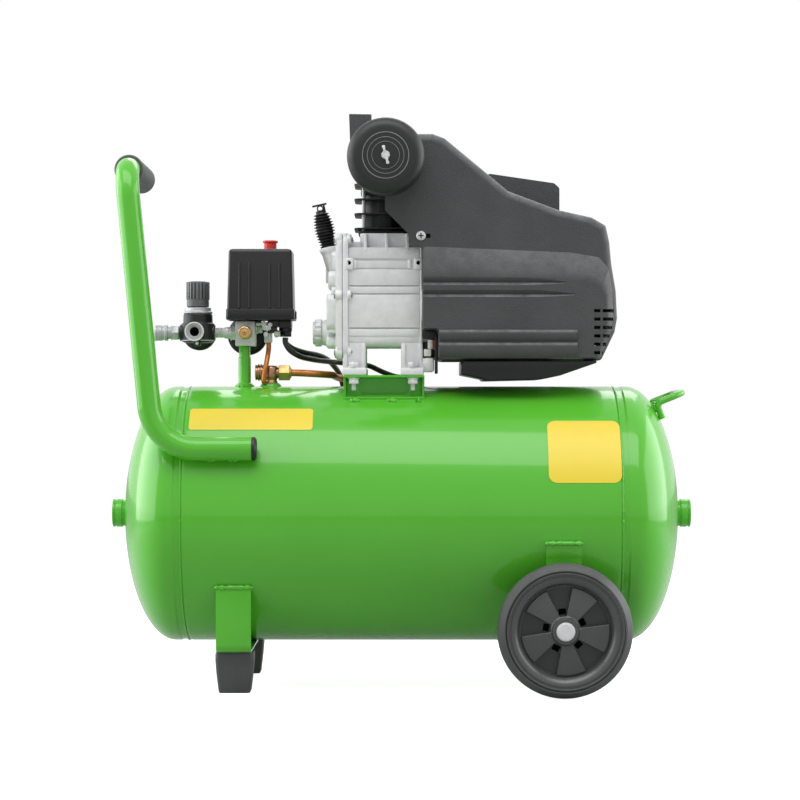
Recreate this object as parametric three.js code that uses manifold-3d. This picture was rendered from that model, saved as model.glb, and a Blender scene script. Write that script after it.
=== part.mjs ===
// Direct-drive piston air compressor on a 50-litre wheeled tank, in millimetres, +Z up.
// The origin lies on the floor below the middle of the tank. +X runs along the tank from
// the handle to the wheels, and +Y points to the side that the pressure gauges face.
import * as THREE from 'three';
import { mergeVertices } from 'three/addons/utils/BufferGeometryUtils.js';
import Module from 'manifold-3d';

const wasm = await Module();
wasm.setup();

// ---------- Driving dimensions ----------
const gap = 0.3; // clearance between two pieces that touch
const slip = 0.4; // clearance round a piece that slides or turns

// Tank
const tankRadius = 158;
const tankWall = 2.5;
const shellHalfLength = 262;
const headSkirt = 17;
const headDepth = 64;
const spigotLength = 10;
const portRadius = 17.5;
const portReach = 17;
const plugRadius = 8;

// Feet, straps and wheels
const bootHeight = 49.4;
const bootLength = 46;
const bootWidth = 38;
const bootCentreY = tankRadius - 54;
const strapThickness = 3;
const frontStrapX = -shellHalfLength + 61.3;
const frontStrapWidth = 42;
const frontWeldDrop = 83.5; // weld edge below the tank's axis
const wheelX = shellHalfLength - 69.4;
const wheelRadius = 80;
const wheelWidth = 35;
const wheelOuterY = tankRadius + 32;
const wheelStrapWidth = 42;
const wheelWeldDrop = 29;
const tyreDepth = 13;
const rimInnerRadius = 53.7;
const hubRadius = 16.2;
const spokeCount = 5;
const spokeWidth = 15;
const axleRadius = 7;
const axleHeadRadius = 11.1;

// Handle and carry loop
const tubeRadius = 14;
const tubeWall = 2;
const handleRise = 83; // lower run above the tank's axis
const handleStartX = -shellHalfLength + 84;
const handleFootX = -shellHalfLength - 32.7;
const handleTopX = handleFootX - 33.3;
const handleHeight = 335.5; // top run above the lower run
const handleLowBend = 56;
const handleTopBend = 38;
const handleReachY = 30; // the free end of the handle's top run
const gripRadius = 17.5;
const gripLength = 146;
const loopRodRadius = 4;
const loopHalfSpan = 46;

// Pump
const platformRise = 13.4; // top of the platform above the top of the tank
const platformX = -21.5;
const platformLength = 99;
const platformHalfWidth = 73;
const platformSkirtY = 55;
const cylinderX = -20.5;
const crankHeight = 85.6; // crank axis above the platform
const caseHalfLength = 45.5;
const caseHalfWidth = 60;
const caseTop = 72; // above the crank axis
const padTop = 89;
const caseBottom = 51.5; // below the crank axis
const crankBoreRadius = 44;
const legLength = 27;
const legWidth = 24;
const footHeight = 8.6;
const flangeThickness = 6;
const flangeHalfHeight = 77;
const flangeHalfWidth = 64;
const coverDepth = 13;
const boreRadius = 23.5;
const barrelRadius = 30;
const finHalfSpan = 38;
const finThickness = 3;
const finPitch = 18.5;
const cylinderHeight = 54;
const headHeight = 58;
const stroke = 38;
const crankPinRadius = 7;
const shaftRadius = 8;

// Motor
const statorRadius = 62;
const statorBore = 39;
const statorLength = 70;
const windingLength = 14;
const bellLength = 19;
const bellRadius = 64;
const fanRadius = 72;
const fanDepth = 16;
const bearingWidth = 12;

// Shroud
const shroudHalfWidth = 90;
const shroudWall = 2.5;
const shroudEdge = 10; // rounding of the long edges
const louverCount = 6;
const louverPitch = 10.2;
const louverHeight = 5;
const panDepth = 23;
const panStart = 95;
const panEnd = 262;
const capacitorStart = 120;
const capacitorEnd = 223;
const capacitorFoot = 72; // above the crank axis, as is its top
const capacitorTop = 173.5;
const capacitorDepth = 32;

// Intake filter
const filterRadius = 46.8;
const filterDepth = 44;
const filterCoverLength = 32;

// Air fittings
const riserX = -196;
const riserBore = 4;
const fittingRadius = 8;
const riserHeight = 50;
const manifoldLength = 25;
const manifoldHeight = 31;
const sidePortRise = 1.2; // side ports above the middle of the manifold
const checkValveX = -166;
const drainX = shellHalfLength - 24;
const switchX = -175;
const switchLength = 82;
const switchWidth = 64;
const switchHeight = 88;
const switchWall = 2.5;
const regulatorX = -254.4;
const tankGaugeRadius = 25;
const outletGaugeRadius = 21;
const pipeRadius = 4.5;
const unloaderRadius = 2.6;
const leadRadius = 3.5;

// Heights that follow from the sizes above
const tankAxisZ = bootHeight + gap + strapThickness + gap + tankRadius;
const tankTop = tankAxisZ + tankRadius;
const handleZ = tankAxisZ + handleRise;
const handleTopZ = handleZ + handleHeight;
const platformTop = tankTop + platformRise;
const crankZ = platformTop + crankHeight;
const manifoldZ = tankTop + riserHeight + gap + manifoldHeight / 2;
const sidePortZ = manifoldZ + sidePortRise;
const switchZ = manifoldZ + manifoldHeight / 2 + 1;

// ---------- Materials ----------
function finish(color, roughness, metalness) {
  return new THREE.MeshStandardMaterial({ color, roughness, metalness });
}
const greenPaint = finish(0x64b446, 0.25, 0.1);
const castAluminium = finish(0xc4c6c8, 0.5, 0.8);
const darkAluminium = finish(0x4a4b4d, 0.6, 0.7);
const shroudPlastic = finish(0x3c3d3f, 0.7, 0);
const blackPlastic = finish(0x1d1e20, 0.5, 0);
const rubber = finish(0x2c2d2f, 0.85, 0);
const brass = finish(0xb9934e, 0.35, 0.9);
const copper = finish(0xc9783a, 0.35, 0.95);
const nickel = finish(0xb8babd, 0.3, 0.95);
const steel = finish(0x8d9093, 0.4, 0.9);
const redPlastic = finish(0xd8262b, 0.4, 0);
const paperFilter = finish(0xd9d2bf, 0.9, 0);
const sightGlass = finish(0xb7c4c0, 0.1, 0);

// ---------- Geometry helpers ----------
const point = (x, y) => new THREE.Vector2(x, y);
const at = (x, y, z) => new THREE.Vector3(x, y, z);

/** Closed geometry as a manifold solid. */
function solidOf(geometry) {
  const bare = new THREE.BufferGeometry();
  bare.setAttribute('position', geometry.getAttribute('position'));
  const source = geometry.index ? bare.setIndex(geometry.index) : bare;
  const merged = mergeVertices(source, 1e-3);
  const vertProperties = merged.getAttribute('position').array;
  const triVerts = new Uint32Array(merged.index.array);
  return new wasm.Manifold(new wasm.Mesh({ numProp: 3, vertProperties, triVerts }));
}

/** Manifold solid back as a geometry. */
function geometryOf(solid) {
  const mesh = solid.getMesh();
  const geometry = new THREE.BufferGeometry();
  geometry.setAttribute('position', new THREE.BufferAttribute(new Float32Array(mesh.vertProperties), 3));
  geometry.setIndex(new THREE.BufferAttribute(new Uint32Array(mesh.triVerts), 1));
  geometry.computeVertexNormals();
  return geometry;
}

const join = (first, ...others) =>
  geometryOf(others.reduce((sum, next) => sum.add(solidOf(next)), solidOf(first)));
const cut = (base, ...tools) =>
  geometryOf(tools.reduce((rest, tool) => rest.subtract(solidOf(tool)), solidOf(base)));
const common = (first, second) => geometryOf(solidOf(first).intersect(solidOf(second)));

/** Box between two opposite corners. */
function box(x0, x1, y0, y1, z0, z1) {
  const geometry = new THREE.BoxGeometry(x1 - x0, y1 - y0, z1 - z0);
  return geometry.translate((x0 + x1) / 2, (y0 + y1) / 2, (z0 + z1) / 2);
}

/** Turns a geometry that stands along one axis to another: lathes stand along Y. */
function latheTo(axis, geometry) {
  if (axis === 'x') geometry.rotateZ(-Math.PI / 2);
  if (axis === 'z') geometry.rotateX(Math.PI / 2);
  return geometry;
}

/** Body of revolution of [radius, height] points, listed from the bottom up on the outside. */
function lathe(axis, profile, sides = 16) {
  const points = profile.map(([radius, height]) => point(radius, height));
  const first = points[0];
  const last = points[points.length - 1];
  if (last.x > 0 || first.x > 0) points.push(first.clone());
  return latheTo(axis, new THREE.LatheGeometry(points, sides));
}

const rod = (axis, radius, from, to, sides = 16) =>
  lathe(axis, [[0, from], [radius, from], [radius, to], [0, to]], sides);
const ring = (axis, outer, inner, from, to, sides = 16) =>
  lathe(axis, [[inner, from], [outer, from], [outer, to], [inner, to]], sides);
const hexRod = (axis, acrossFlats, from, to) => rod(axis, acrossFlats / Math.sqrt(3), from, to, 6);

/** Prism of an outline between two heights along an axis: x takes (y, z), y (x, z), z (x, y). */
function prism(axis, outline, from, to, holes = []) {
  const shape = new THREE.Shape(outline.map(([u, v]) => point(u, v)));
  shape.holes = holes.map((hole) => new THREE.Path(hole.map(([u, v]) => point(u, v))));
  const geometry = new THREE.ExtrudeGeometry(shape, { depth: to - from, bevelEnabled: false });
  if (axis === 'z') return geometry.translate(0, 0, from);
  if (axis === 'y') return geometry.rotateX(Math.PI / 2).translate(0, to, 0);
  const basis = new THREE.Matrix4().makeBasis(at(0, 1, 0), at(0, 0, 1), at(1, 0, 0));
  return geometry.applyMatrix4(basis).translate(from, 0, 0);
}

/** Points of an arc in degrees, both ends included. */
function arc(u, v, radius, fromDegrees, toDegrees, steps) {
  return Array.from({ length: steps + 1 }, (_, i) => {
    const angle = THREE.MathUtils.degToRad(fromDegrees + ((toDegrees - fromDegrees) * i) / steps);
    return [u + radius * Math.cos(angle), v + radius * Math.sin(angle)];
  });
}

/** Rectangle outline with cut or rounded corners. */
function roundedRectangle(u0, u1, v0, v1, radius, steps = 2) {
  return [
    ...arc(u1 - radius, v0 + radius, radius, -90, 0, steps),
    ...arc(u1 - radius, v1 - radius, radius, 0, 90, steps),
    ...arc(u0 + radius, v1 - radius, radius, 90, 180, steps),
    ...arc(u0 + radius, v0 + radius, radius, 180, 270, steps),
  ];
}

/** Moves every edge of a counter-clockwise outline inwards by a distance. */
function insetOutline(outline, distance) {
  const count = outline.length;
  return outline.map((corner, i) => {
    const before = outline[(i + count - 1) % count];
    const after = outline[(i + 1) % count];
    const first = point(corner[0] - before[0], corner[1] - before[1]).normalize();
    const second = point(after[0] - corner[0], after[1] - corner[1]).normalize();
    const normal = point(-first.y - second.y, first.x + second.x);
    const reach = distance / (1 + first.dot(second));
    return [corner[0] + normal.x * reach, corner[1] + normal.y * reach];
  });
}

/** Outline of sheet metal whose inner face follows a bent line, with the metal on its right. */
function sheetOutline(line, thickness) {
  const outer = line.map(([u, v], i) => {
    const before = line[Math.max(i - 1, 0)];
    const after = line[Math.min(i + 1, line.length - 1)];
    const first = point(u - before[0], v - before[1]).normalize();
    const second = point(after[0] - u, after[1] - v).normalize();
    if (i === 0) first.copy(second);
    if (i === line.length - 1) second.copy(first);
    const reach = thickness / (1 + first.dot(second));
    return [u + (first.y + second.y) * reach, v - (first.x + second.x) * reach];
  });
  return [...line, ...outer.reverse()];
}

const circle = (radius, sides) => arc(0, 0, radius, 0, 360 - 360 / sides, sides - 1);

/** Path of straight runs and round bends, with sections only where it starts, bends and ends. */
class BentPath extends THREE.Curve {
  constructor(corners, bendRadii, bendSteps = 4) {
    super();
    this.stations = [corners[0]];
    for (let i = 1; i < corners.length - 1; i += 1) {
      this.addBend(corners[i - 1], corners[i], corners[i + 1], bendRadii[i - 1], bendSteps);
    }
    this.stations.push(corners[corners.length - 1]);
  }

  addBend(before, corner, after, radius, steps) {
    const arriving = corner.clone().sub(before).normalize();
    const leaving = after.clone().sub(corner).normalize();
    const turn = arriving.angleTo(leaving);
    const start = corner.clone().addScaledVector(arriving, -radius * Math.tan(turn / 2));
    const side = leaving.clone().addScaledVector(arriving, -leaving.dot(arriving)).normalize();
    for (let i = 0; i <= steps; i += 1) {
      const angle = (turn * i) / steps;
      const station = start.clone().addScaledVector(arriving, radius * Math.sin(angle));
      this.stations.push(station.addScaledVector(side, radius * (1 - Math.cos(angle))));
    }
  }

  get steps() {
    return this.stations.length - 1;
  }

  getPoint(t) {
    const place = Math.min(t, 1) * this.steps;
    const index = Math.min(Math.floor(place + 1e-9), this.steps - 1);
    return this.stations[index].clone().lerp(this.stations[index + 1], place - index);
  }

  getPointAt(u) {
    return this.getPoint(u);
  }

  getTangentAt(u) {
    const index = Math.round(u * this.steps);
    const before = this.stations[Math.max(index - 1, 0)];
    const here = this.stations[index];
    const after = this.stations[Math.min(index + 1, this.steps)];
    const arriving = here.clone().sub(before).normalize();
    return arriving.add(after.clone().sub(here).normalize()).normalize();
  }
}

/** Round bar or pipe swept along a path. */
function sweep(path, radius, inner = 0, sides = 10, steps = path.steps) {
  const shape = new THREE.Shape(circle(radius, sides).map(([u, v]) => point(u, v)));
  if (inner > 0) shape.holes.push(new THREE.Path(circle(inner, sides).map(([u, v]) => point(u, v))));
  return new THREE.ExtrudeGeometry(shape, { steps, extrudePath: path, bevelEnabled: false });
}

/** Adds a named piece to a group. */
function piece(group, name, geometry, material) {
  const mesh = new THREE.Mesh(geometry, material);
  mesh.name = name;
  group.add(mesh);
  return mesh;
}

function groupAt(parent, x, y, z) {
  const group = new THREE.Group();
  group.position.set(x, y, z);
  parent.add(group);
  return group;
}

const model = new THREE.Group();

// ---------- Tank ----------
const tank = groupAt(model, 0, 0, tankAxisZ);
const tankSides = 32;
const tankEnd = shellHalfLength + headSkirt + headDepth;

/** Height of the tank's skin above its axis at a distance from its middle plane. */
const skinHeight = (y, radius = tankRadius) => Math.sqrt(radius * radius - y * y);

/** Rolled shell with the riser pipe welded into it and holes for the valves. */
function tankShell() {
  const hole = (x, radius, from, to) => rod('z', radius, from, to).translate(x, 0, 0);
  const riser = lathe('z', [
    [0, -tankWall],
    [10.5, -tankWall],
    [10.5, 1],
    [8.3, 4],
    [8.3, riserHeight - 9],
    [7, riserHeight - 8],
    [7, riserHeight],
    [0, riserHeight],
  ]).translate(riserX, 0, tankRadius);
  return cut(
    join(ring('x', tankRadius, tankRadius - tankWall, -shellHalfLength, shellHalfLength, tankSides), riser),
    hole(riserX, riserBore, 0, tankRadius + riserHeight + 1),
    hole(checkValveX, fittingRadius + gap, 0, tankRadius + 1),
    hole(drainX, fittingRadius + gap, -tankRadius - 1, 0),
  );
}

/** Dished end, with its rim at zero and its crown along +X. */
function tankHead() {
  const holeRadius = portRadius - 4;
  const inner = tankRadius - tankWall;
  const dish = (radius, depth, rings) => {
    const last = Math.acos(holeRadius / radius);
    return Array.from({ length: rings + 1 }, (_, i) => {
      const angle = (last * i) / rings;
      return [radius * Math.cos(angle), headSkirt + depth * Math.sin(angle)];
    });
  };
  const spigot = inner - gap;
  const shell = lathe('x', [
    [spigot - tankWall, -spigotLength],
    [spigot, -spigotLength],
    [spigot, gap],
    [tankRadius, gap],
    ...dish(tankRadius, headDepth, 6),
    ...dish(inner - 1, headDepth - tankWall - 1, 3).reverse(),
    [spigot - tankWall, gap],
  ], tankSides);
  const port = endPort().translate(headSkirt + headDepth, 0, 0);
  return join(shell, port);
}

/** Welded socket in the crown, closed by a plug with a hexagon hole. */
function endPort() {
  const neck = portRadius - 1.5;
  const socket = lathe('x', [
    [0, -4],
    [neck, -4],
    [neck, portReach * 0.3],
    [portRadius, portReach * 0.3],
    [portRadius, portReach],
    [0, portReach],
  ]);
  return cut(socket, hexRod('x', plugRadius, portReach - 6, portReach + 1));
}

piece(tank, 'tank_shell', tankShell(), greenPaint);
for (const [side, turn] of [['left', Math.PI], ['right', 0]]) {
  const end = groupAt(tank, 0, 0, 0);
  end.rotation.z = turn;
  piece(end, `tank_head_${side}`, tankHead().translate(shellHalfLength, 0, 0), greenPaint);
}

// ---------- Straps, boots and drain under the tank ----------
const strapBottom = -tankRadius - gap;

function frontStrap() {
  const legY = skinHeight(frontWeldDrop) + gap;
  const bend = 6;
  const line = [
    [-legY, -frontWeldDrop],
    ...arc(-legY + bend, strapBottom + bend, bend, 180, 270, 3),
    ...arc(legY - bend, strapBottom + bend, bend, -90, 0, 3),
    [legY, -frontWeldDrop],
  ];
  const outline = sheetOutline(line, strapThickness);
  return prism('x', outline, -frontStrapWidth / 2, frontStrapWidth / 2).translate(frontStrapX, 0, 0);
}

function wheelStrap() {
  const legY = wheelOuterY - wheelWidth - strapThickness - 1.5;
  const weldAngle = THREE.MathUtils.radToDeg(Math.asin(wheelWeldDrop / tankRadius));
  const lipAngle = THREE.MathUtils.radToDeg(Math.acos(legY / (tankRadius + gap)));
  const bend = 6;
  const line = [
    ...arc(0, 0, tankRadius + gap, 180 + weldAngle, 180 + lipAngle, 3),
    ...arc(-legY + bend, strapBottom + bend, bend, 180, 270, 3),
    ...arc(legY - bend, strapBottom + bend, bend, -90, 0, 3),
    ...arc(0, 0, tankRadius + gap, -lipAngle, -weldAngle, 3),
  ];
  const half = wheelStrapWidth / 2;
  const strap = prism('x', sheetOutline(line, strapThickness), -half, half);
  const bolt = rod('y', axleRadius + gap, -wheelOuterY, wheelOuterY)
    .translate(0, 0, wheelRadius - tankAxisZ);
  return cut(strap, bolt).translate(wheelX, 0, 0);
}

/** Rubber block that tapers towards the floor. */
function boot() {
  const taper = 0.82;
  const block = new THREE.BoxGeometry(bootLength, bootWidth, bootHeight, 1, 1, 2);
  const places = block.getAttribute('position');
  for (let i = 0; i < places.count; i += 1) {
    if (places.getZ(i) < -1) places.setXY(i, places.getX(i) * taper, places.getY(i) * taper);
  }
  return block.translate(frontStrapX, 0, bootHeight / 2);
}

piece(tank, 'front_strap', frontStrap(), greenPaint);
piece(tank, 'wheel_strap', wheelStrap(), greenPaint);
piece(model, 'boot_near', boot().translate(0, -bootCentreY, 0), rubber);
piece(model, 'boot_far', boot().translate(0, bootCentreY, 0), rubber);

const drain = groupAt(tank, drainX, 0, -tankRadius);
const drainValve = cut(
  join(rod('z', fittingRadius, -gap - 10, tankWall), hexRod('z', 20, -gap - 12, -gap)),
  rod('z', 4 + slip, -30, 30),
);
piece(drain, 'drain_valve', drainValve, brass);
const drainScrew = join(rod('z', 4, -22, -3), hexRod('z', 14, -24, -gap - 12 - gap));
piece(drain, 'drain_screw', drainScrew, brass);

// ---------- Wheels ----------
const wheelFaceY = -wheelWidth / 2;
const hubRecess = 6;
const wheelSides = 28;

/** Spoked plastic wheel about Y, in its own frame, with its outer face towards -Y. */
function wheelRim() {
  const rimRadius = wheelRadius - tyreDepth;
  const outerY = wheelFaceY;
  const innerY = -wheelFaceY;
  const shell = ring('y', rimRadius, rimInnerRadius, outerY + 1, innerY - 1, wheelSides);
  const web = ring('y', rimInnerRadius + 1, hubRadius - 1, outerY + 15, outerY + 20, 20);
  const hub = ring('y', hubRadius, axleRadius + slip, outerY + hubRecess, innerY);
  const half = spokeWidth / 2;
  const spokes = Array.from({ length: spokeCount }, (_, i) => {
    const spoke = box(hubRadius - 3, rimInnerRadius + 2, outerY + 8, outerY + 16, -half, half);
    return spoke.rotateY(-THREE.MathUtils.degToRad(-10 + (360 * i) / spokeCount));
  });
  return join(shell, web, hub, ...spokes);
}

function wheelTyre() {
  const inner = wheelRadius - tyreDepth + gap;
  const shoulder = 9;
  const half = wheelWidth / 2;
  return lathe('y', [
    [inner, -half],
    [wheelRadius - shoulder, -half],
    [wheelRadius, -half + shoulder],
    [wheelRadius, half - shoulder],
    [wheelRadius - shoulder, half],
    [inner, half],
  ], wheelSides);
}

/** Shoulder bolt from inside the strap to its domed head outside the hub. */
function axleBolt() {
  const head = wheelFaceY + hubRecess - gap;
  return lathe('y', [
    [0, head - 5],
    [axleHeadRadius - 2, head - 5],
    [axleHeadRadius, head - 3],
    [axleHeadRadius, head],
    [axleRadius, head],
    [axleRadius, wheelWidth / 2 + 10],
    [0, wheelWidth / 2 + 10],
  ]);
}

for (const [side, turn] of [['near', 0], ['far', Math.PI]]) {
  const wheel = groupAt(model, wheelX, 0, wheelRadius);
  wheel.rotation.z = turn;
  const middle = -wheelOuterY + wheelWidth / 2;
  piece(wheel, `wheel_rim_${side}`, wheelRim().translate(0, middle, 0), blackPlastic);
  piece(wheel, `wheel_tyre_${side}`, wheelTyre().translate(0, middle, 0), rubber);
  piece(wheel, `axle_bolt_${side}`, axleBolt().translate(0, middle, 0), steel);
}

// ---------- Handle ----------
const handleY = -Math.sqrt((tankRadius + tubeRadius) ** 2 - (handleZ - tankAxisZ) ** 2);

function handleTube() {
  const path = new BentPath([
    at(handleStartX, handleY, handleZ),
    at(handleFootX, handleY, handleZ),
    at(handleTopX, handleY, handleTopZ),
    at(handleTopX, handleReachY, handleTopZ),
  ], [handleLowBend, handleTopBend], 5);
  return sweep(path, tubeRadius, tubeRadius - tubeWall, 12);
}

const gripStart = handleReachY + 3 - gripLength;
const handleGrip = lathe('y', [
  [tubeRadius + gap, gripStart],
  [gripRadius, gripStart],
  [gripRadius + 0.8, gripStart + 3],
  [gripRadius, gripStart + 6],
  [gripRadius, gripStart + gripLength - 5],
  [gripRadius - 5, gripStart + gripLength],
  [0, gripStart + gripLength],
  [0, handleReachY + gap],
  [tubeRadius + gap, handleReachY + gap],
], 20).translate(handleTopX, 0, handleTopZ);

const endCap = join(
  rod('x', tubeRadius, handleStartX + gap, handleStartX + 6),
  rod('x', tubeRadius - tubeWall - 2 * gap, handleStartX - 12, handleStartX + 1),
).translate(0, handleY, handleZ);

piece(model, 'handle_tube', handleTube(), greenPaint);
piece(model, 'handle_grip', handleGrip, rubber);
piece(model, 'handle_end_cap', endCap, blackPlastic);

// ---------- Carry loop on the wheel end ----------
function carryLoop() {
  const tip = tankEnd + 3.5;
  const tipZ = tankRadius - 8;
  const heelX = tankEnd - 29;
  const heelZ = tankRadius - 21;
  const toeX = tankEnd - 21.7;
  const toeZ = tankRadius - 40;
  const side = (y) => [at(toeX, y, toeZ), at(heelX, y, heelZ), at(tip, y, tipZ)];
  const corners = [...side(-loopHalfSpan), ...side(loopHalfSpan).reverse()];
  return sweep(new BentPath(corners, [7, 16, 16, 7], 3), loopRodRadius, 0, 8);
}
piece(tank, 'carry_loop', carryLoop(), greenPaint);

// ---------- Pump platform ----------
function pumpPlatform() {
  const top = platformRise;
  const half = platformLength / 2;
  const footDrop = (y) => skinHeight(y) - tankRadius + gap;
  const sheet = strapThickness;
  const sideOutline = (sign) => [
    [sign * platformSkirtY, top - 1],
    [sign * platformSkirtY, footDrop(platformSkirtY - sheet)],
    [sign * (platformSkirtY - sheet), footDrop(platformSkirtY - sheet)],
    [sign * (platformSkirtY - sheet), top - 1],
  ];
  const gusset = (sign) => [
    [sign * (platformSkirtY - 1), top - 1],
    [sign * (platformSkirtY - 1), footDrop(platformSkirtY - sheet)],
    [sign * platformHalfWidth, footDrop(platformSkirtY - sheet)],
    [sign * platformHalfWidth, top - 1],
  ];
  const lip = (sign) => [
    [sign * (platformSkirtY - 1), footDrop(platformSkirtY)],
    [sign * platformHalfWidth, footDrop(platformHalfWidth)],
    [sign * platformHalfWidth, footDrop(platformHalfWidth) + sheet],
    [sign * (platformSkirtY - 1), footDrop(platformSkirtY) + sheet],
  ];
  const sides = [-1, 1].flatMap((sign) => [
    prism('x', sideOutline(sign), -half, half),
    prism('x', gusset(sign), -half, -half + sheet),
    prism('x', gusset(sign), half - sheet, half),
    prism('x', lip(sign), -half, half),
  ]);
  const plate = box(-half, half, -platformHalfWidth, platformHalfWidth, top - sheet, top);
  const saddle = rod('x', tankRadius + gap, -half - 1, half + 1, tankSides).translate(0, 0, -tankRadius);
  return cut(join(plate, ...sides), saddle).translate(platformX, 0, tankRadius);
}
piece(tank, 'pump_platform', pumpPlatform(), greenPaint);

// ---------- Pump: origin where the crank's axis meets the cylinder's ----------
const pump = groupAt(model, cylinderX, 0, crankZ);

const flangeRise = 12; // middle of the flange above the crank axis
const flangeOutline = roundedRectangle(-flangeHalfWidth, flangeHalfWidth,
  flangeRise - flangeHalfHeight, flangeRise + flangeHalfHeight, 14);

function crankcase() {
  const body = prism('x', [
    ...arc(0, 0, caseBottom, 200, 340, 8),
    [caseHalfWidth, -20],
    [caseHalfWidth, caseTop],
    [-caseHalfWidth, caseTop],
    [-caseHalfWidth, -20],
  ], -caseHalfLength, caseHalfLength);
  const flange = prism('x', flangeOutline, -caseHalfLength - flangeThickness, -caseHalfLength + 1);
  const pad = rod('z', barrelRadius + 3, caseTop - 1, padTop);
  const legs = [-1, 1].flatMap((alongX) => [-1, 1].map((alongY) => {
    const x0 = alongX > 0 ? caseHalfLength - legLength - 0.5 : -caseHalfLength - 4;
    const y0 = alongY > 0 ? caseHalfWidth - legWidth - 0.5 : -caseHalfWidth + 0.5;
    const leg = box(x0, x0 + legLength, y0, y0 + legWidth, -crankHeight + footHeight - 1, -20);
    const foot = box(x0 - 1, x0 + legLength + 1, y0 - 8 * (alongY < 0), y0 + legWidth + 8 * (alongY > 0),
      -crankHeight + gap, -crankHeight + footHeight);
    return join(leg, foot);
  }));
  const cavityStart = -caseHalfLength - flangeThickness - 1;
  const cavity = rod('x', crankBoreRadius, cavityStart, caseHalfLength - bearingWidth - 1, 24);
  const throat = rod('z', boreRadius + 3 + gap, 0, padTop + 1);
  const bellEnd = caseHalfLength + bellLength;
  const bellRim = ring('x', bellRadius, statorRadius - 6, caseHalfLength - 1, bellEnd, 24);
  const bearingBore = rod('x', shaftRadius + slip, 0, caseHalfLength + 1);
  return cut(join(body, flange, pad, ...legs, bellRim), cavity, throat, bearingBore);
}

const coverOuter = -caseHalfLength - flangeThickness - gap;
const coverFace = coverOuter - flangeThickness - coverDepth;
const glassRadius = 9;
const glassDrop = 32; // sight glass below the crank axis
const glassSeatLength = 8;
const neckTilt = THREE.MathUtils.degToRad(12.2);
const neckX = coverOuter - 8;
const neckZ = 24;
const neckLength = 52;
const neckBore = 7;

/** Moves a lathe that stands along Z onto the tilted oil filler neck. */
const onNeck = (geometry) => geometry.rotateY(-neckTilt).translate(neckX, 0, neckZ);

function crankcaseCover() {
  const plate = prism('x', flangeOutline, coverOuter - flangeThickness, coverOuter);
  const dome = rod('x', crankBoreRadius + 6, coverFace, coverOuter - 1, 16);
  const glassSeat = rod('x', 15, coverFace - glassSeatLength, coverOuter - 2, 16)
    .translate(0, 0, -glassDrop);
  const neck = onNeck(lathe('z', [[0, 0], [8, 0], [11.5, neckLength], [0, neckLength]], 16));
  const hollow = rod('x', crankBoreRadius, coverFace + 4, coverOuter + 1, 16);
  const neckHole = onNeck(rod('z', neckBore + slip, -10, neckLength + 5, 12));
  const glassHole = rod('x', glassRadius, coverOuter - 40, coverOuter, 16).translate(0, 0, -glassDrop);
  return cut(join(plate, dome, glassSeat, neck), hollow, neckHole, glassHole);
}

const sightStart = coverFace - glassSeatLength - gap;
const oilSightGlass = join(
  rod('x', 17.5, sightStart - 10, sightStart, 16),
  rod('x', glassRadius - gap, sightStart - 1, sightStart + 12, 16),
).translate(0, 0, -glassDrop);

const breatherRibs = 4;
const ribPitch = 11;

/** Dipstick plug of the oil filler, with a ribbed cap that narrows upwards. */
function oilBreather() {
  const seat = neckLength + gap;
  const profile = [[0, -20], [neckBore, -20], [neckBore, seat], [8, seat]];
  for (let rib = 0; rib < breatherRibs; rib += 1) {
    const foot = neckLength + 2 + rib * ribPitch;
    const ribRadius = 12 - rib * 0.8;
    const coreRadius = 9 - rib * 0.5;
    profile.push([ribRadius, foot], [ribRadius, foot + 6]);
    profile.push([coreRadius, foot + 7], [coreRadius, foot + ribPitch]);
  }
  const top = neckLength + 8 + breatherRibs * ribPitch;
  profile.push([6, top], [0, top]);
  return onNeck(lathe('z', profile, 12));
}

piece(pump, 'crankcase', crankcase(), castAluminium);
piece(pump, 'crankcase_cover', crankcaseCover(), castAluminium);
piece(pump, 'oil_sight_glass', oilSightGlass, sightGlass);
piece(pump, 'oil_breather', oilBreather(), blackPlastic);

// Cylinder, head and piston
const cylinderFoot = padTop + gap;
const cylinderTop = cylinderFoot + cylinderHeight;
const headFoot = cylinderTop + gap;
const headTop = headFoot + headHeight;
const finOutline = roundedRectangle(-finHalfSpan, finHalfSpan, -finHalfSpan, finHalfSpan, 8, 1);
const intakeZ = headFoot + 33;
const intakeRadius = 12;
const filterOffset = 1.4;

const fin = (from) => prism('z', finOutline, from, from + finThickness);

function cylinderBarrel() {
  const barrel = rod('z', barrelRadius, cylinderFoot, cylinderTop);
  const spigot = rod('z', boreRadius + 3, cylinderFoot - 12, cylinderFoot + 1);
  const fins = Array.from({ length: 3 }, (_, i) => fin(cylinderFoot + i * finPitch));
  const bore = rod('z', boreRadius, cylinderFoot - 13, cylinderTop + 1);
  return cut(join(barrel, spigot, ...fins, fin(cylinderTop - finThickness)), bore);
}

function cylinderHead() {
  const core = prism('z', roundedRectangle(-30, 30, -30, 30, 6), headFoot, headTop);
  const fins = Array.from({ length: 4 }, (_, i) => fin(headFoot + i * finPitch * 0.86));
  const port = rod('y', intakeRadius, -finHalfSpan, finHalfSpan).translate(0, 0, intakeZ);
  const passage = rod('y', 7, -finHalfSpan - 1, finHalfSpan + 1, 12).translate(0, 0, intakeZ);
  const chamber = rod('z', 16, headFoot - 1, headFoot + 30);
  return cut(join(core, ...fins, port), passage, chamber);
}

const pistonTop = cylinderTop - stroke - 4;
const rodFoot = stroke / 2 + crankPinRadius + 3;

function pistonCup() {
  const bodyRadius = boreRadius - 0.2;
  const cup = rod('z', bodyRadius, pistonTop - 36, pistonTop);
  const hollow = rod('z', bodyRadius - 4, pistonTop - 37, pistonTop - 6, 16);
  const pin = rod('x', 5, -bodyRadius + 2, bodyRadius - 2, 12).translate(0, 0, pistonTop - 20);
  return join(cut(cup, hollow), pin);
}

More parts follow.
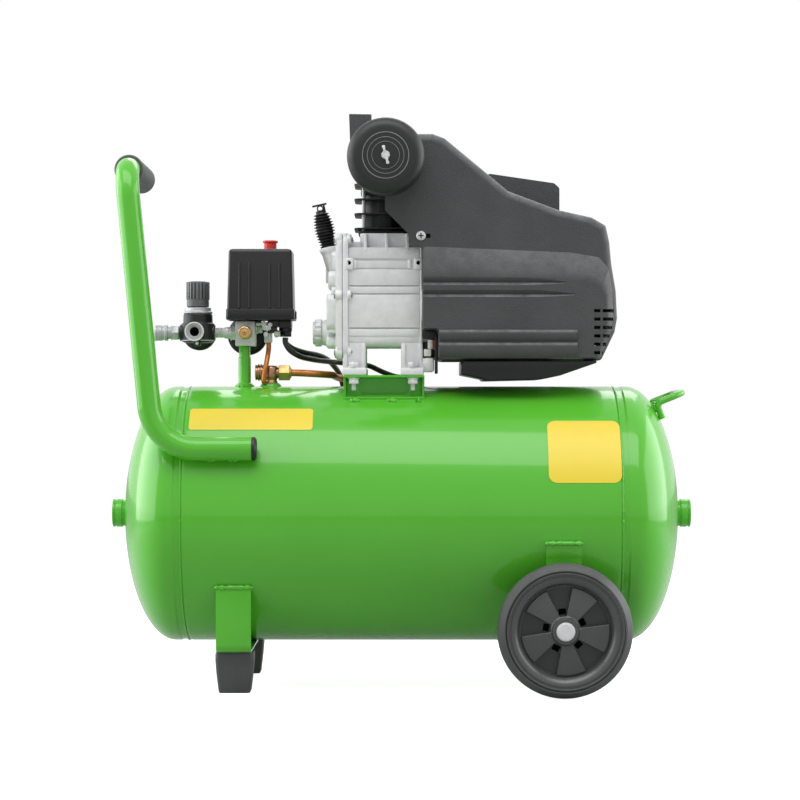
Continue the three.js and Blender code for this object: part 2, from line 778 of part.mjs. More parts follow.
/** Rod from the piston's pin, with its big end left open above the crank's circle. */
function connectingRod() {
  const eye = ring('x', 9, 5 + gap, -6, 6).translate(0, 0, pistonTop - 20);
  const shank = box(-3, 3, -5, 5, rodFoot + 7, pistonTop - 20 - 7);
  const saddle = prism('x', [[-11, rodFoot], [-7, rodFoot], ...arc(0, rodFoot, 7, 180, 0, 6).slice(1, -1),
    [7, rodFoot], [11, rodFoot], [9, rodFoot + 11], [-9, rodFoot + 11]], -6, 6);
  return join(eye, shank, saddle);
}

piece(pump, 'cylinder', cylinderBarrel(), darkAluminium);
piece(pump, 'cylinder_head', cylinderHead(), darkAluminium);
piece(pump, 'piston', pistonCup(), castAluminium);
piece(pump, 'connecting_rod', connectingRod(), castAluminium);

// ---------- Crank, motor and fan, along +X from the crankcase ----------
const statorStart = caseHalfLength + bellLength + gap;
const statorEnd = statorStart + statorLength;
const endBellStart = statorEnd + windingLength + 4;
const fanStart = endBellStart + bearingWidth + 12;

function crankshaft() {
  const webStart = 9;
  const web = rod('x', 24, webStart, webStart + 10, 16).translate(0, 0, -6);
  const pin = rod('x', crankPinRadius, -8, webStart + 1).translate(0, 0, -stroke / 2);
  const shaft = rod('x', shaftRadius, webStart + 9, fanStart + fanDepth + 4);
  return join(web, pin, shaft);
}

/** Laminated stator with its copper windings standing out at both ends. */
function motorStator() {
  const core = ring('x', statorRadius, statorBore, statorStart, statorEnd, 16);
  const windings = ring('x', statorRadius - 10, statorBore + 3, statorStart - windingLength,
    statorEnd + windingLength, 16);
  return join(core, windings);
}

function motorEndBell() {
  const plate = ring('x', statorRadius, shaftRadius + slip, endBellStart, endBellStart + bearingWidth, 16);
  const rim = ring('x', statorRadius, statorRadius - 6, statorEnd + gap, endBellStart + 1, 16);
  return join(plate, rim);
}

function coolingFan() {
  const hub = ring('x', 16, shaftRadius + gap, fanStart, fanStart + fanDepth);
  const back = ring('x', fanRadius - 6, 15, fanStart, fanStart + 3, 16);
  const blades = Array.from({ length: 7 }, (_, i) =>
    box(fanStart + 2, fanStart + fanDepth, -1.5, 1.5, 14, fanRadius - 7).rotateX((Math.PI * 2 * i) / 7));
  return join(back, hub, ...blades);
}

piece(pump, 'crankshaft', crankshaft(), steel);
piece(pump, 'motor_stator', motorStator(), steel);
piece(pump, 'motor_rotor', ring('x', statorBore - 1, shaftRadius + gap, statorStart, statorEnd, 16), steel);
piece(pump, 'motor_end_bell', motorEndBell(), castAluminium);
piece(pump, 'cooling_fan', coolingFan(), blackPlastic);

// ---------- Shroud over the motor ----------
// Outline seen from the near side, counter-clockwise, from the lower left corner.
const shroudBottom = -68;
const shroudOutline = [
  [65, shroudBottom],
  [264, shroudBottom],
  [280, -33],
  [283, -16],
  [281.5, 17],
  [276, 52],
  [274, 78],
  [270, 95],
  [257, 106],
  [212, 116],
  [150, 139],
  [128, 158],
  [72, 203],
  [61, 208.5],
  [0, 209],
  [0, 116],
  [27, 89],
  [caseHalfLength + gap, 89],
  [caseHalfLength + gap, -30],
  [65, -30],
];

/** Outline drawn out across Y with its long edges rounded off. */
function roundedShell(outline, halfWidth, edge) {
  const shape = new THREE.Shape(outline.map(([u, v]) => point(u, v)));
  const geometry = new THREE.ExtrudeGeometry(shape, {
    depth: 2 * (halfWidth - edge),
    bevelThickness: edge,
    bevelSize: edge,
    bevelOffset: -edge,
    bevelSegments: 2,
  });
  return geometry.rotateX(Math.PI / 2).translate(0, halfWidth - edge, 0);
}

function motorShroud() {
  const outer = roundedShell(shroudOutline, shroudHalfWidth, shroudEdge);
  const inner = roundedShell(insetOutline(shroudOutline, shroudWall), shroudHalfWidth - shroudWall,
    shroudEdge - shroudWall);
  const room = shroudHalfWidth - shroudEdge;
  const motorHole = rod('x', bellRadius + gap, 40, 70, 24);
  const cylinderSide = box(-10, caseHalfLength, -room, room, 86, headTop + 4);
  const intakeNotch = box(-10, filterOffset + intakeRadius + 2, -shroudHalfWidth - 1, 0,
    intakeZ - intakeRadius - 2, intakeZ + intakeRadius + 2);
  const underside = box(70, 250, -room, room, shroudBottom - 10, shroudBottom + 10);
  const louvers = Array.from({ length: louverCount }, (_, i) => {
    const z = -58 + i * louverPitch;
    return box(262, 290, -room, room, z, z + louverHeight);
  });
  const shell = cut(outer, inner, motorHole, cylinderSide, intakeNotch, underside, ...louvers);
  const farWall = [shroudHalfWidth - shroudWall, shroudHalfWidth];
  const baffle = box(-47.5, 16, ...farWall, 184, 206);
  const fin = box(-47.5, -18, ...farWall, 200, 251.2);
  return join(shell, baffle, fin);
}

/** Tray that closes the shroud from below, open above the motor's underside. */
function shroudPan() {
  const rim = shroudBottom - gap;
  const shallow = shroudBottom - panDepth + 6;
  const deep = shroudBottom - panDepth;
  const outline = [
    [panStart, rim],
    [panStart, shallow],
    [panStart + 27, deep],
    [panEnd - 65, deep],
    [panEnd - 48, deep + 4],
    [panEnd, rim],
  ];
  const half = shroudHalfWidth - shroudEdge + 4;
  const inside = half - shroudWall;
  const room = box(panStart + 3, panEnd - 22, -inside, inside, shallow + 1, shroudBottom + 1);
  const hollow = common(room, prism('y', insetOutline(outline, shroudWall), -inside, inside));
  const vent = box(panStart + 4, panEnd - 27, -60, 60, shallow + 5, 0);
  return cut(prism('y', outline, -half, half), hollow, vent);
}

/** Box for the motor's capacitor on the far side of the shroud, with a sloping lid. */
function capacitorBox() {
  const wall = shroudHalfWidth + gap;
  const lid = [
    [capacitorEnd, capacitorTop - 17.5],
    [capacitorEnd - 4, capacitorTop - 13.5],
    [capacitorStart + 15, capacitorTop],
    [capacitorStart, capacitorTop - 3.5],
  ];
  const outline = [[capacitorStart, capacitorFoot], [capacitorEnd, capacitorFoot], ...lid];
  return prism('y', outline, wall, wall + capacitorDepth);
}

piece(pump, 'motor_shroud', motorShroud(), shroudPlastic);
piece(pump, 'shroud_pan', shroudPan(), shroudPlastic);
piece(pump, 'capacitor_box', capacitorBox(), shroudPlastic);

// ---------- Intake filter, about Y in front of the cylinder head ----------
const filter = groupAt(pump, filterOffset, 0, intakeZ);
const filterBaseY = shroudHalfWidth + gap;
const filterFaceY = filterBaseY + filterDepth;
const filterSeam = -filterFaceY + filterCoverLength;

function filterBase() {
  const dish = lathe('y', [
    [0, filterSeam + 6],
    [filterRadius - 4, filterSeam + 6],
    [filterRadius - 4, filterSeam + gap],
    [filterRadius, filterSeam + gap],
    [filterRadius, -filterBaseY - 4],
    [filterRadius - 4, -filterBaseY],
    [intakeRadius, -filterBaseY],
    [intakeRadius, -finHalfSpan - gap],
    [0, -finHalfSpan - gap],
  ], 20);
  const stud = rod('y', 3, -filterFaceY - 5, filterSeam + 7, 8);
  const passage = rod('y', 6, filterSeam + 10, 0, 12);
  const inlet = box(-6, 6, filterSeam + 5, filterSeam + 12, 14, 30);
  return cut(join(dish, stud), passage, inlet);
}

const filterCover = lathe('y', [
  [3 + slip, -filterFaceY],
  [36, -filterFaceY],
  [44, -filterFaceY + 3],
  [filterRadius, -filterFaceY + 12],
  [filterRadius, filterSeam],
  [filterRadius - 2.5, filterSeam],
  [filterRadius - 2.5, -filterFaceY + 13],
  [42, -filterFaceY + 5],
  [35, -filterFaceY + 2.5],
  [3 + slip, -filterFaceY + 2.5],
], 20);

const wingNut = join(
  ring('y', 4.4, 3 + slip, -filterFaceY - 6, -filterFaceY - gap, 12),
  box(-10, -3.9, -filterFaceY - 5, -filterFaceY - 2, -2.2, 2.2),
  box(3.9, 10, -filterFaceY - 5, -filterFaceY - 2, -2.2, 2.2),
).rotateY(THREE.MathUtils.degToRad(75));

piece(filter, 'filter_base', filterBase(), shroudPlastic);
piece(filter, 'filter_element', ring('y', 38, 18, -filterFaceY + 6, filterSeam + 6 - gap, 20), paperFilter);
piece(filter, 'filter_cover', filterCover, shroudPlastic);
piece(filter, 'filter_wing_nut', wingNut, nickel);

// ---------- Manifold on the riser ----------
const manifold = groupAt(model, riserX + 1.5, 0, manifoldZ);

function manifoldBlock() {
  const halfLength = manifoldLength / 2;
  const halfHeight = manifoldHeight / 2;
  const outline = roundedRectangle(-halfLength, halfLength, -13, 13, 2, 1);
  const block = prism('z', outline, -halfHeight, halfHeight);
  const nipple = join(
    hexRod('x', 16, -halfLength - 10, -halfLength + 1),
    rod('x', 6.7, -halfLength - 35, -halfLength),
  );
  const union = rod('x', 6, halfLength - 1, halfLength + 7.5);
  const neck = rod('z', 6.5, halfHeight - 1, halfHeight + 1 - gap);
  const passage = rod('x', 3.5, -halfLength - 36, halfLength, 10);
  return cut(join(block, nipple.translate(0, 0, sidePortRise), union.translate(0, 0, sidePortRise), neck),
    passage.translate(0, 0, sidePortRise), rod('z', 3.5, -halfHeight - 1, halfHeight + 4, 10));
}
piece(manifold, 'manifold', manifoldBlock(), nickel);

const safetyValve = lathe('y', [
  [0, -40],
  [2.5, -40],
  [2.5, -37],
  [5, -37],
  [6.15, -35],
  [6.15, -24],
  [8.5, -23],
  [8.5, -13 - gap],
  [0, -13 - gap],
]).translate(-1, 0, sidePortRise);
piece(manifold, 'safety_valve', safetyValve, brass);

/** Round gauge that faces +Y: a cup with its dial inside, on a stem from zero. */
function gauge(radius, stemLength, depth) {
  const back = stemLength;
  const front = stemLength + depth;
  return lathe('y', [
    [0, gap],
    [6, gap],
    [6, back],
    [radius - 2, back],
    [radius, back + 2],
    [radius, front],
    [radius - 2.5, front],
    [radius - 2.5, front - 7],
    [1.2, front - 7],
    [1.2, front - 3],
    [0, front - 3],
  ]);
}

function gaugeNeedle(radius, stemLength, depth) {
  const y0 = stemLength + depth - 6.4;
  const hub = ring('y', 3, 1.2 + slip, y0, y0 + 1.4, 12);
  const pointer = box(-0.8, 0.8, y0 + 0.2, y0 + 1.1, 2.6, radius - 6);
  return join(hub, pointer).rotateY(THREE.MathUtils.degToRad(135));
}

function addGauge(parent, name, radius, stemLength, depth) {
  piece(parent, name, gauge(radius, stemLength, depth), blackPlastic);
  piece(parent, `${name}_needle`, gaugeNeedle(radius, stemLength, depth), redPlastic);
}
addGauge(groupAt(manifold, -1, 13, sidePortRise - 2), 'tank_gauge', tankGaugeRadius, 22, 24);

// ---------- Regulator ----------
const regulator = groupAt(model, regulatorX, 0, sidePortZ);

function regulatorBody() {
  const body = lathe('z', [
    [0, -13],
    [14, -13],
    [21, -9],
    [21, 11],
    [18.2, 13],
    [18.2, 24],
    [17, 24],
    [17, 32],
    [0, 32],
  ]);
  const ports = join(
    hexRod('x', 16, -23, 0),
    rod('x', 9.5, 0, 21.5, 12),
    rod('y', 10, -24, 24, 12),
  );
  const spindleHole = rod('z', 5 + slip, 4, 33, 12);
  const inlet = rod('x', 6.7 + gap, 12, 40, 12);
  const outlets = join(rod('x', 3.5, -30, 0, 8), rod('y', 3.5, -30, 0, 8));
  return cut(join(body, ports), spindleHole, inlet, outlets);
}
piece(regulator, 'regulator_body', regulatorBody(), blackPlastic);

function regulatorKnob() {
  const grip = lathe('z', [[0, 32 + slip], [13, 32 + slip], [14, 35], [14, 60], [12, 64], [0, 64]]);
  const ribs = Array.from({ length: 12 }, (_, i) =>
    box(13, 14.7, -1.2, 1.2, 37, 60).rotateZ((Math.PI * 2 * i) / 12));
  return join(grip, ...ribs, rod('z', 5, 12, 33, 12));
}
piece(regulator, 'regulator_knob', regulatorKnob(), blackPlastic);
addGauge(groupAt(regulator, -2, 24, 0), 'outlet_gauge', outletGaugeRadius, 8, 22);

/** Quick coupler along +X: a hexagon and barrel, and a spring-loaded sleeve on the barrel. */
const couplerTravel = 4;
const couplerBody = cut(
  join(hexRod('x', 19, gap, 10), rod('x', 7.6, 9, 32)),
  rod('x', 4, -1, 33, 12),
);
const couplerSleeve = ring('x', 10, 7.6 + slip, 10 + couplerTravel + 0.5, 30);

function addCoupler(name, place, turn) {
  const group = groupAt(regulator, ...place);
  group.rotation.z = turn;
  piece(group, name, couplerBody.clone(), nickel);
  piece(group, `${name}_sleeve`, couplerSleeve.clone(), nickel);
}
addCoupler('coupler_left', [-23, 0, 0], Math.PI);
addCoupler('coupler_near', [0, -24, 0], -Math.PI / 2);

// ---------- Pressure switch ----------
const pressureSwitch = groupAt(model, switchX, 0, switchZ);
const switchHalf = switchLength / 2;
const switchDeep = switchWidth / 2;
const knobX = 11;
const switchBaseHeight = 12;

/** Box whose top is drawn in on all sides. */
function taperedBox(halfX, halfY, from, to, inset) {
  const geometry = new THREE.BoxGeometry(halfX * 2, halfY * 2, to - from);
  geometry.translate(0, 0, (from + to) / 2);
  const places = geometry.getAttribute('position');
  for (let i = 0; i < places.count; i += 1) {
    if (places.getZ(i) < to - 0.01) continue;
    places.setX(i, places.getX(i) * (1 - inset / halfX));
    places.setY(i, places.getY(i) * (1 - inset / halfY));
  }
  return geometry;
}

const coverStart = switchBaseHeight + gap;
const switchCover = cut(
  taperedBox(switchHalf, switchDeep, coverStart, switchHeight, 2),
  taperedBox(switchHalf - switchWall, switchDeep - switchWall, coverStart - 1, switchHeight - switchWall, 2),
  rod('z', 8 + slip, switchHeight - 10, switchHeight + 1).translate(knobX, 0, 0),
);
const switchKnob = join(
  rod('z', 8, 60, switchHeight + 7),
  lathe('z', [[0, switchHeight + 6.6], [9.7, switchHeight + 6.6], [9.7, switchHeight + 10],
    [8.7, switchHeight + 12], [0, switchHeight + 12]]),
).translate(knobX, 0, 0);

piece(pressureSwitch, 'switch_cover', switchCover, blackPlastic);
piece(pressureSwitch, 'switch_knob', switchKnob, redPlastic);

const glandBottom = -21;
const glandX = 30;
const unloaderX = 9;
const unloaderBottom = -33;

/** Base plate with its contact block, cable gland and unloader valve. */
function switchBase() {
  const outline = roundedRectangle(-switchHalf, switchHalf, -switchDeep, switchDeep, 4);
  const plate = prism('z', outline, 0, switchBaseHeight);
  const contacts = box(-30, 30, -22, 22, switchBaseHeight - 1, 50);
  const gland = join(rod('z', 6, glandBottom, 1), hexRod('z', 15, glandBottom + 3, glandBottom + 9));
  const unloader = cut(
    join(rod('z', 6, unloaderBottom, 1), hexRod('z', 13, -20, -8)),
    rod('z', unloaderRadius + gap, unloaderBottom - 1, unloaderBottom + 6, 8),
  );
  return join(plate, contacts, gland.translate(glandX, 0, 0), unloader.translate(unloaderX, 0, 0));
}
piece(pressureSwitch, 'switch_base', switchBase(), blackPlastic);

// ---------- Check valve and its pipes ----------
const checkValve = groupAt(model, checkValveX, 0, tankTop);
const valveZ = 17;
const pipeSeat = 15;
const checkBody = cut(
  join(
    rod('z', fittingRadius, -tankWall, 2),
    lathe('z', [[0, gap], [9.5, gap], [9.5, 6], [8.5, valveZ], [0, valveZ]]),
    hexRod('x', 20, -18, -7).translate(0, 0, valveZ),
    rod('x', 8.5, -8, 6).translate(0, 0, valveZ),
    rod('x', 6, 5, 13).translate(0, 0, valveZ),
    hexRod('x', 19, 12, 28).translate(0, 0, valveZ),
  ),
  rod('x', pipeRadius + gap, pipeSeat - gap, 30, 12).translate(0, 0, valveZ),
  rod('z', 4, -tankWall - 1, valveZ, 8),
);
piece(checkValve, 'check_valve', checkBody, brass);

/** Smooth curve through points, for pipes and leads. */
const through = (points) =>
  new THREE.CatmullRomCurve3(points.map((place) => at(...place)), false, 'centripetal');

const outletZ = crankZ + intakeZ;
const valveCentreZ = tankTop + valveZ;
const deliveryPipe = sweep(through([
  [checkValveX + pipeSeat, 0, valveCentreZ],
  [checkValveX + 32, 0, valveCentreZ],
  [-104, 2, 384],
  [-88, 14, 382],
  [-84, 44, 379],
  [-80, 68, 375],
  [-67, 84, 370],
  [-42, 87, 367],
  [-10, 86, 367],
  [7, 82, 379],
  [11, 76, 402],
  [11, 75, 470],
  [11, 75, 560],
  [10, 73, 612],
  [3, 66, 636],
  [-11, 56, outletZ - 4],
  [cylinderX + 1, finHalfSpan + 10, outletZ],
  [cylinderX, finHalfSpan + gap, outletZ],
]), pipeRadius, 0, 8, 34);
piece(model, 'delivery_pipe', deliveryPipe, copper);

const unloaderTop = switchZ + unloaderBottom + 6 - gap;
const unloaderPipe = sweep(through([
  [switchX + unloaderX, 0, unloaderTop],
  [switchX + unloaderX, -1, unloaderTop - 10],
  [switchX + unloaderX - 0.5, -8, unloaderTop - 20],
  [switchX + unloaderX - 2.5, -15, unloaderTop - 30],
  [switchX + unloaderX - 4.5, -15.5, valveCentreZ - 8],
  [switchX + unloaderX - 4.5, -14, valveCentreZ - 12],
  [switchX + unloaderX - 4, -9.8 - gap, valveCentreZ - 13],
]), unloaderRadius, 0, 8, 16);
piece(model, 'unloader_pipe', unloaderPipe, copper);

// ---------- Leads from the switch to the motor ----------
const leadTop = switchZ + glandBottom - gap;
const leadStart = switchX + glandX;
const leadEnd = 44.5 - gap;
const motorLead = sweep(through([
  [leadStart, -4, leadTop],
  [leadStart, -4, leadTop - 6],
  [leadStart + 5, -3, leadTop - 15],
  [leadStart + 17, 4, leadTop - 23],
  [leadStart + 33, 22, leadTop - 27],
  [leadStart + 50, 48, leadTop - 29],
  [-80, 66, 400],
  [-60, 76, 398],
  [-42, 80, 396],
  [-24, 86, 388],
  [-6, 92, 382],
  [8, 93, 381.5],
  [20, 88, 387],
  [30, 79.5, 397.5],
  [36, 73.5, 404],
  [leadEnd - 3, 71, 406.4],
  [leadEnd, 71, 406.4],
]), leadRadius, 0, 8, 22);
piece(model, 'motor_lead', motorLead, blackPlastic);
const panLead = sweep(through([
  [leadStart, 4, leadTop],
  [leadStart, 4, leadTop - 6],
  [leadStart + 8, 7, leadTop - 13],
  [leadStart + 22, 17, leadTop - 18],
  [leadStart + 38, 36, leadTop - 21],
  [leadStart + 50, 59, leadTop - 26],
  [-87, 75, 396],
  [-79, 90, 384],
  [-74, 100, 366],
  [-62, 106, 347],
  [-42, 104, 337.5],
  [-14, 103, 336],
  [3, 103, 338],
  [14, 103, 344.5],
  [21, 102.7, 355],
  [24, 102, 368],
  [25, 99, 383],
  [28.5, 92, 398],
  [34.5, 83, 410],
  [leadEnd - 3, 77, 415.4],
  [leadEnd, 77, 415.4],
]), leadRadius, 0, 8, 30);
piece(model, 'pan_lead', panLead, blackPlastic);

export default model;
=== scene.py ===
"""Finished look of a wheeled, direct-drive piston air compressor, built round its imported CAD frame.

Shapes are modelled in millimetres and scaled down when a piece is made. The near side is the one
that faces -Y; `side` is -1 for the near side and 1 for the far one.
"""
import logging
import math
from collections.abc import Sequence
from dataclasses import dataclass, field
from enum import Enum
from typing import Self

import bmesh
import bpy
from mathutils import Matrix, Vector


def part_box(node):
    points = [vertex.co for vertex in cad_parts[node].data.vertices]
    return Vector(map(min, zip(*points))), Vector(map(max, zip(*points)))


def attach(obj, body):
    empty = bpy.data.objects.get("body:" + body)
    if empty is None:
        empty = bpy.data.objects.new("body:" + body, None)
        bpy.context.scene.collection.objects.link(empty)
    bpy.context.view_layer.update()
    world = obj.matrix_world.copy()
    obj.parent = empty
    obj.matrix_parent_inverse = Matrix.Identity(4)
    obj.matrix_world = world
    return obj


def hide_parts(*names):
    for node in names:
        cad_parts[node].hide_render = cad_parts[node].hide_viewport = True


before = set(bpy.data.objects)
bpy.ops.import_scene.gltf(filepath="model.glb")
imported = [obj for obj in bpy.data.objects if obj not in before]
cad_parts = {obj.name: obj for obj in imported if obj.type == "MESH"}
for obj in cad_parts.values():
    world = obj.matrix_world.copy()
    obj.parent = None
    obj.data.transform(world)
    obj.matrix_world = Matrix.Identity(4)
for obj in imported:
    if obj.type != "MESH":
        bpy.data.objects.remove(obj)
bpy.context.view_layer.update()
MM = 0.001
SAME_POINT = 1e-4  # corners closer than this are one corner
SAME_CORNER_AFTER_CUT = 1e-3  # the same, where a cut leaves thin slivers
SAME_LEVEL = 1e-6  # heights closer than this are one height
LOG = logging.getLogger("compressor")

Pair = tuple[float, float]
Triple = tuple[float, float, float]
ORIGIN: Triple = (0, 0, 0)
STILL = Matrix.Identity(4)
SIDES = (-1, 1)


# ---------- Places ----------
@dataclass(frozen=True)
class Box:
    """Box of a CAD node at rest, in millimetres.

    Args:
        low: Lowest corner.
        high: Highest corner.
    """

    low: Vector
    high: Vector

    @classmethod
    def of(cls, node: str) -> "Box":
        """Box of a node of the frame."""
        low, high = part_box(node)
        return cls(low / MM, high / MM)

    @property
    def centre(self) -> Vector:
        """Middle of the box."""
        return (self.low + self.high) / 2

    @property
    def size(self) -> Vector:
        """Side lengths of the box."""
        return self.high - self.low


class Axis(Enum):
    """Axis that a turned or drawn-out shape follows."""

    X = ((0, 1, 0), (0, 0, 1), (1, 0, 0))
    Y = ((1, 0, 0), (0, 0, 1), (0, 1, 0))
    Z = ((1, 0, 0), (0, 1, 0), (0, 0, 1))

    @property
    def matrix(self) -> Matrix:
        """Turns a shape modelled along Z to this axis: outlines take (y, z), (x, z) or (x, y)."""
        return Matrix(self.value).transposed().to_4x4()


def move(x: float, y: float, z: float) -> Matrix:
    """Matrix that moves a shape."""
    return Matrix.Translation((x, y, z))


def turn(degrees: float, axis: str) -> Matrix:
    """Matrix that turns a shape about an axis through the origin."""
    return Matrix.Rotation(math.radians(degrees), 4, axis)


def mirrored(side: int, first: float, second: float) -> Pair:
    """Two distances from the middle plane as places along Y on one side, the lower one first."""
    low, high = sorted((side * first, side * second))
    return low, high


# ---------- Outlines ----------
def arc(centre: Pair, radius: float, start: float, end: float, steps: int) -> list[Pair]:
    """Points of an arc between two angles in degrees, both ends included."""
    angles = [math.radians(start + (end - start) * i / steps) for i in range(steps + 1)]
    return [(centre[0] + radius * math.cos(a), centre[1] + radius * math.sin(a)) for a in angles]


def rounded(points: Sequence[Pair], radius: float, steps: int = 4,
            closed: bool = True) -> list[Pair]:
    """Replaces the corners of an outline or profile with tangent arcs.

    Args:
        points: Corners in order.
        radius: Radius of each arc, cut back where an edge is short.
        steps: Chords in each arc.
        closed: Whether the last corner joins the first.

    Returns:
        The smoothed points.
    """
    straight = math.pi - 0.02
    share = 0.48  # of an edge, at most, for the arc at one end
    result: list[Pair] = []
    count = len(points)
    for i, corner in enumerate(points):
        here = Vector(corner)
        before = Vector(points[i - 1]) - here
        after = Vector(points[(i + 1) % count]) - here
        angle = before.angle(after)
        if angle > straight or not closed and i in (0, count - 1):
            result.append((here.x, here.y))
            continue
        reach = min(radius / math.tan(angle / 2), before.length * share, after.length * share)
        bend = reach * math.tan(angle / 2)
        before.normalize()
        after.normalize()
        middle = here + (before + after).normalized() * (bend / math.sin(angle / 2))
        start, end = here + before * reach - middle, here + after * reach - middle
        sweep = start.angle_signed(end)
        for step in range(steps + 1):
            turned = start.copy()
            turned.rotate(Matrix.Rotation(-sweep * step / steps, 2))
            point = middle + turned
            result.append((point.x, point.y))
    return result


def rectangle(low: Pair, high: Pair, radius: float = 0.0, steps: int = 4) -> list[Pair]:
    """Rectangle, with rounded corners where a radius is given."""
    corners = [low, (high[0], low[1]), high, (low[0], high[1])]
    return rounded(corners, radius, steps) if radius else corners


def inset(points: Sequence[Pair], distance: float) -> list[Pair]:
    """Moves every edge of a counter-clockwise outline inwards, without adding corners."""
    result: list[Pair] = []
    for i, corner in enumerate(points):
        here = Vector(corner)
        first = (here - Vector(points[i - 1])).normalized()
        second = (Vector(points[(i + 1) % len(points)]) - here).normalized()
        reach = distance / (1 + first.dot(second))
        result.append((here.x - (first.y + second.y) * reach,
                       here.y + (first.x + second.x) * reach))
    return result


# ---------- Paths ----------
def bent_path(corners: Sequence[Triple], radii: Sequence[float], steps: int = 10) -> list[Vector]:
    """Straight runs joined by round bends.

    Args:
        corners: Ends and corners of the path.
        radii: Bend radius at each inner corner.
        steps: Chords in each bend.

    Returns:
        Stations along the path.
    """
    knots = [Vector(corner) for corner in corners]
    stations = [knots[0]]
    for before, corner, after, radius in zip(knots, knots[1:], knots[2:], radii):
        arriving = (corner - before).normalized()
        leaving = (after - corner).normalized()
        bend = arriving.angle(leaving)
        start = corner - arriving * radius * math.tan(bend / 2)
        aside = (leaving - arriving * leaving.dot(arriving)).normalized()
        for step in range(steps + 1):
            angle = bend * step / steps
            forward, sideways = radius * math.sin(angle), radius * (1 - math.cos(angle))
            stations.append(start + arriving * forward + aside * sideways)
    stations.append(knots[-1])
    return stations


def smooth_path(points: Sequence[Triple], steps: int) -> list[Vector]:
    """Stations along the centripetal Catmull-Rom curve through points, so many to a stretch."""
    knots = [Vector(p) for p in points]
    knots = [2 * knots[0] - knots[1], *knots, 2 * knots[-1] - knots[-2]]
    stations: list[Vector] = []
    for p0, p1, p2, p3 in zip(knots, knots[1:], knots[2:], knots[3:]):
        t1 = math.sqrt((p1 - p0).length)
        t2 = t1 + math.sqrt((p2 - p1).length)
        t3 = t2 + math.sqrt((p3 - p2).length)
        for step in range(steps):
            t = t1 + (t2 - t1) * step / steps
            a1 = p0.lerp(p1, t / t1)
            a2 = p1.lerp(p2, (t - t1) / (t2 - t1))
            a3 = p2.lerp(p3, (t - t2) / (t3 - t2))
            b1 = a1.lerp(a2, t / t2)
            b2 = a2.lerp(a3, (t - t1) / (t3 - t1))
            stations.append(b1.lerp(b2, (t - t1) / (t2 - t1)))
    stations.append(knots[-2])
    return stations


def hoop(radius: float, axis: Axis, level: float, centre: Triple, steps: int) -> list[Vector]:
    """Closed circle of stations round an axis."""
    place = Matrix.Translation(centre) @ axis.matrix
    return [place @ Vector((u, v, level)) for u, v in arc((0, 0), radius, 0, 360, steps)]


# ---------- Meshes ----------
def soften(part: bmesh.types.BMesh, edges: list, size: float, segments: int = 2) -> None:
    """Rounds edges of a part in the making."""
    bmesh.ops.bevel(part, geom=edges, offset=size, segments=segments, profile=0.5, affect="EDGES",
                    material=-1, clamp_overlap=True)


def level_edges(part: bmesh.types.BMesh) -> list[bmesh.types.BMEdge]:
    """Edges whose ends stand at one height."""
    part.normal_update()
    return [e for e in part.edges if abs(e.verts[0].co.z - e.verts[1].co.z) < SAME_LEVEL]


def as_object(name: str, mesh: bmesh.types.BMesh) -> bpy.types.Object:
    """Scene object that holds a copy of a mesh in the making."""
    data = bpy.data.meshes.new(name)
    mesh.to_mesh(data)
    obj = bpy.data.objects.new(name, data)
    bpy.context.scene.collection.objects.link(obj)
    return obj


def evaluated(obj: bpy.types.Object) -> bpy.types.Mesh:
    """Mesh of an object with its modifiers applied."""
    bpy.context.view_layer.update()
    view = bpy.context.evaluated_depsgraph_get()
    return bpy.data.meshes.new_from_object(obj.evaluated_get(view))


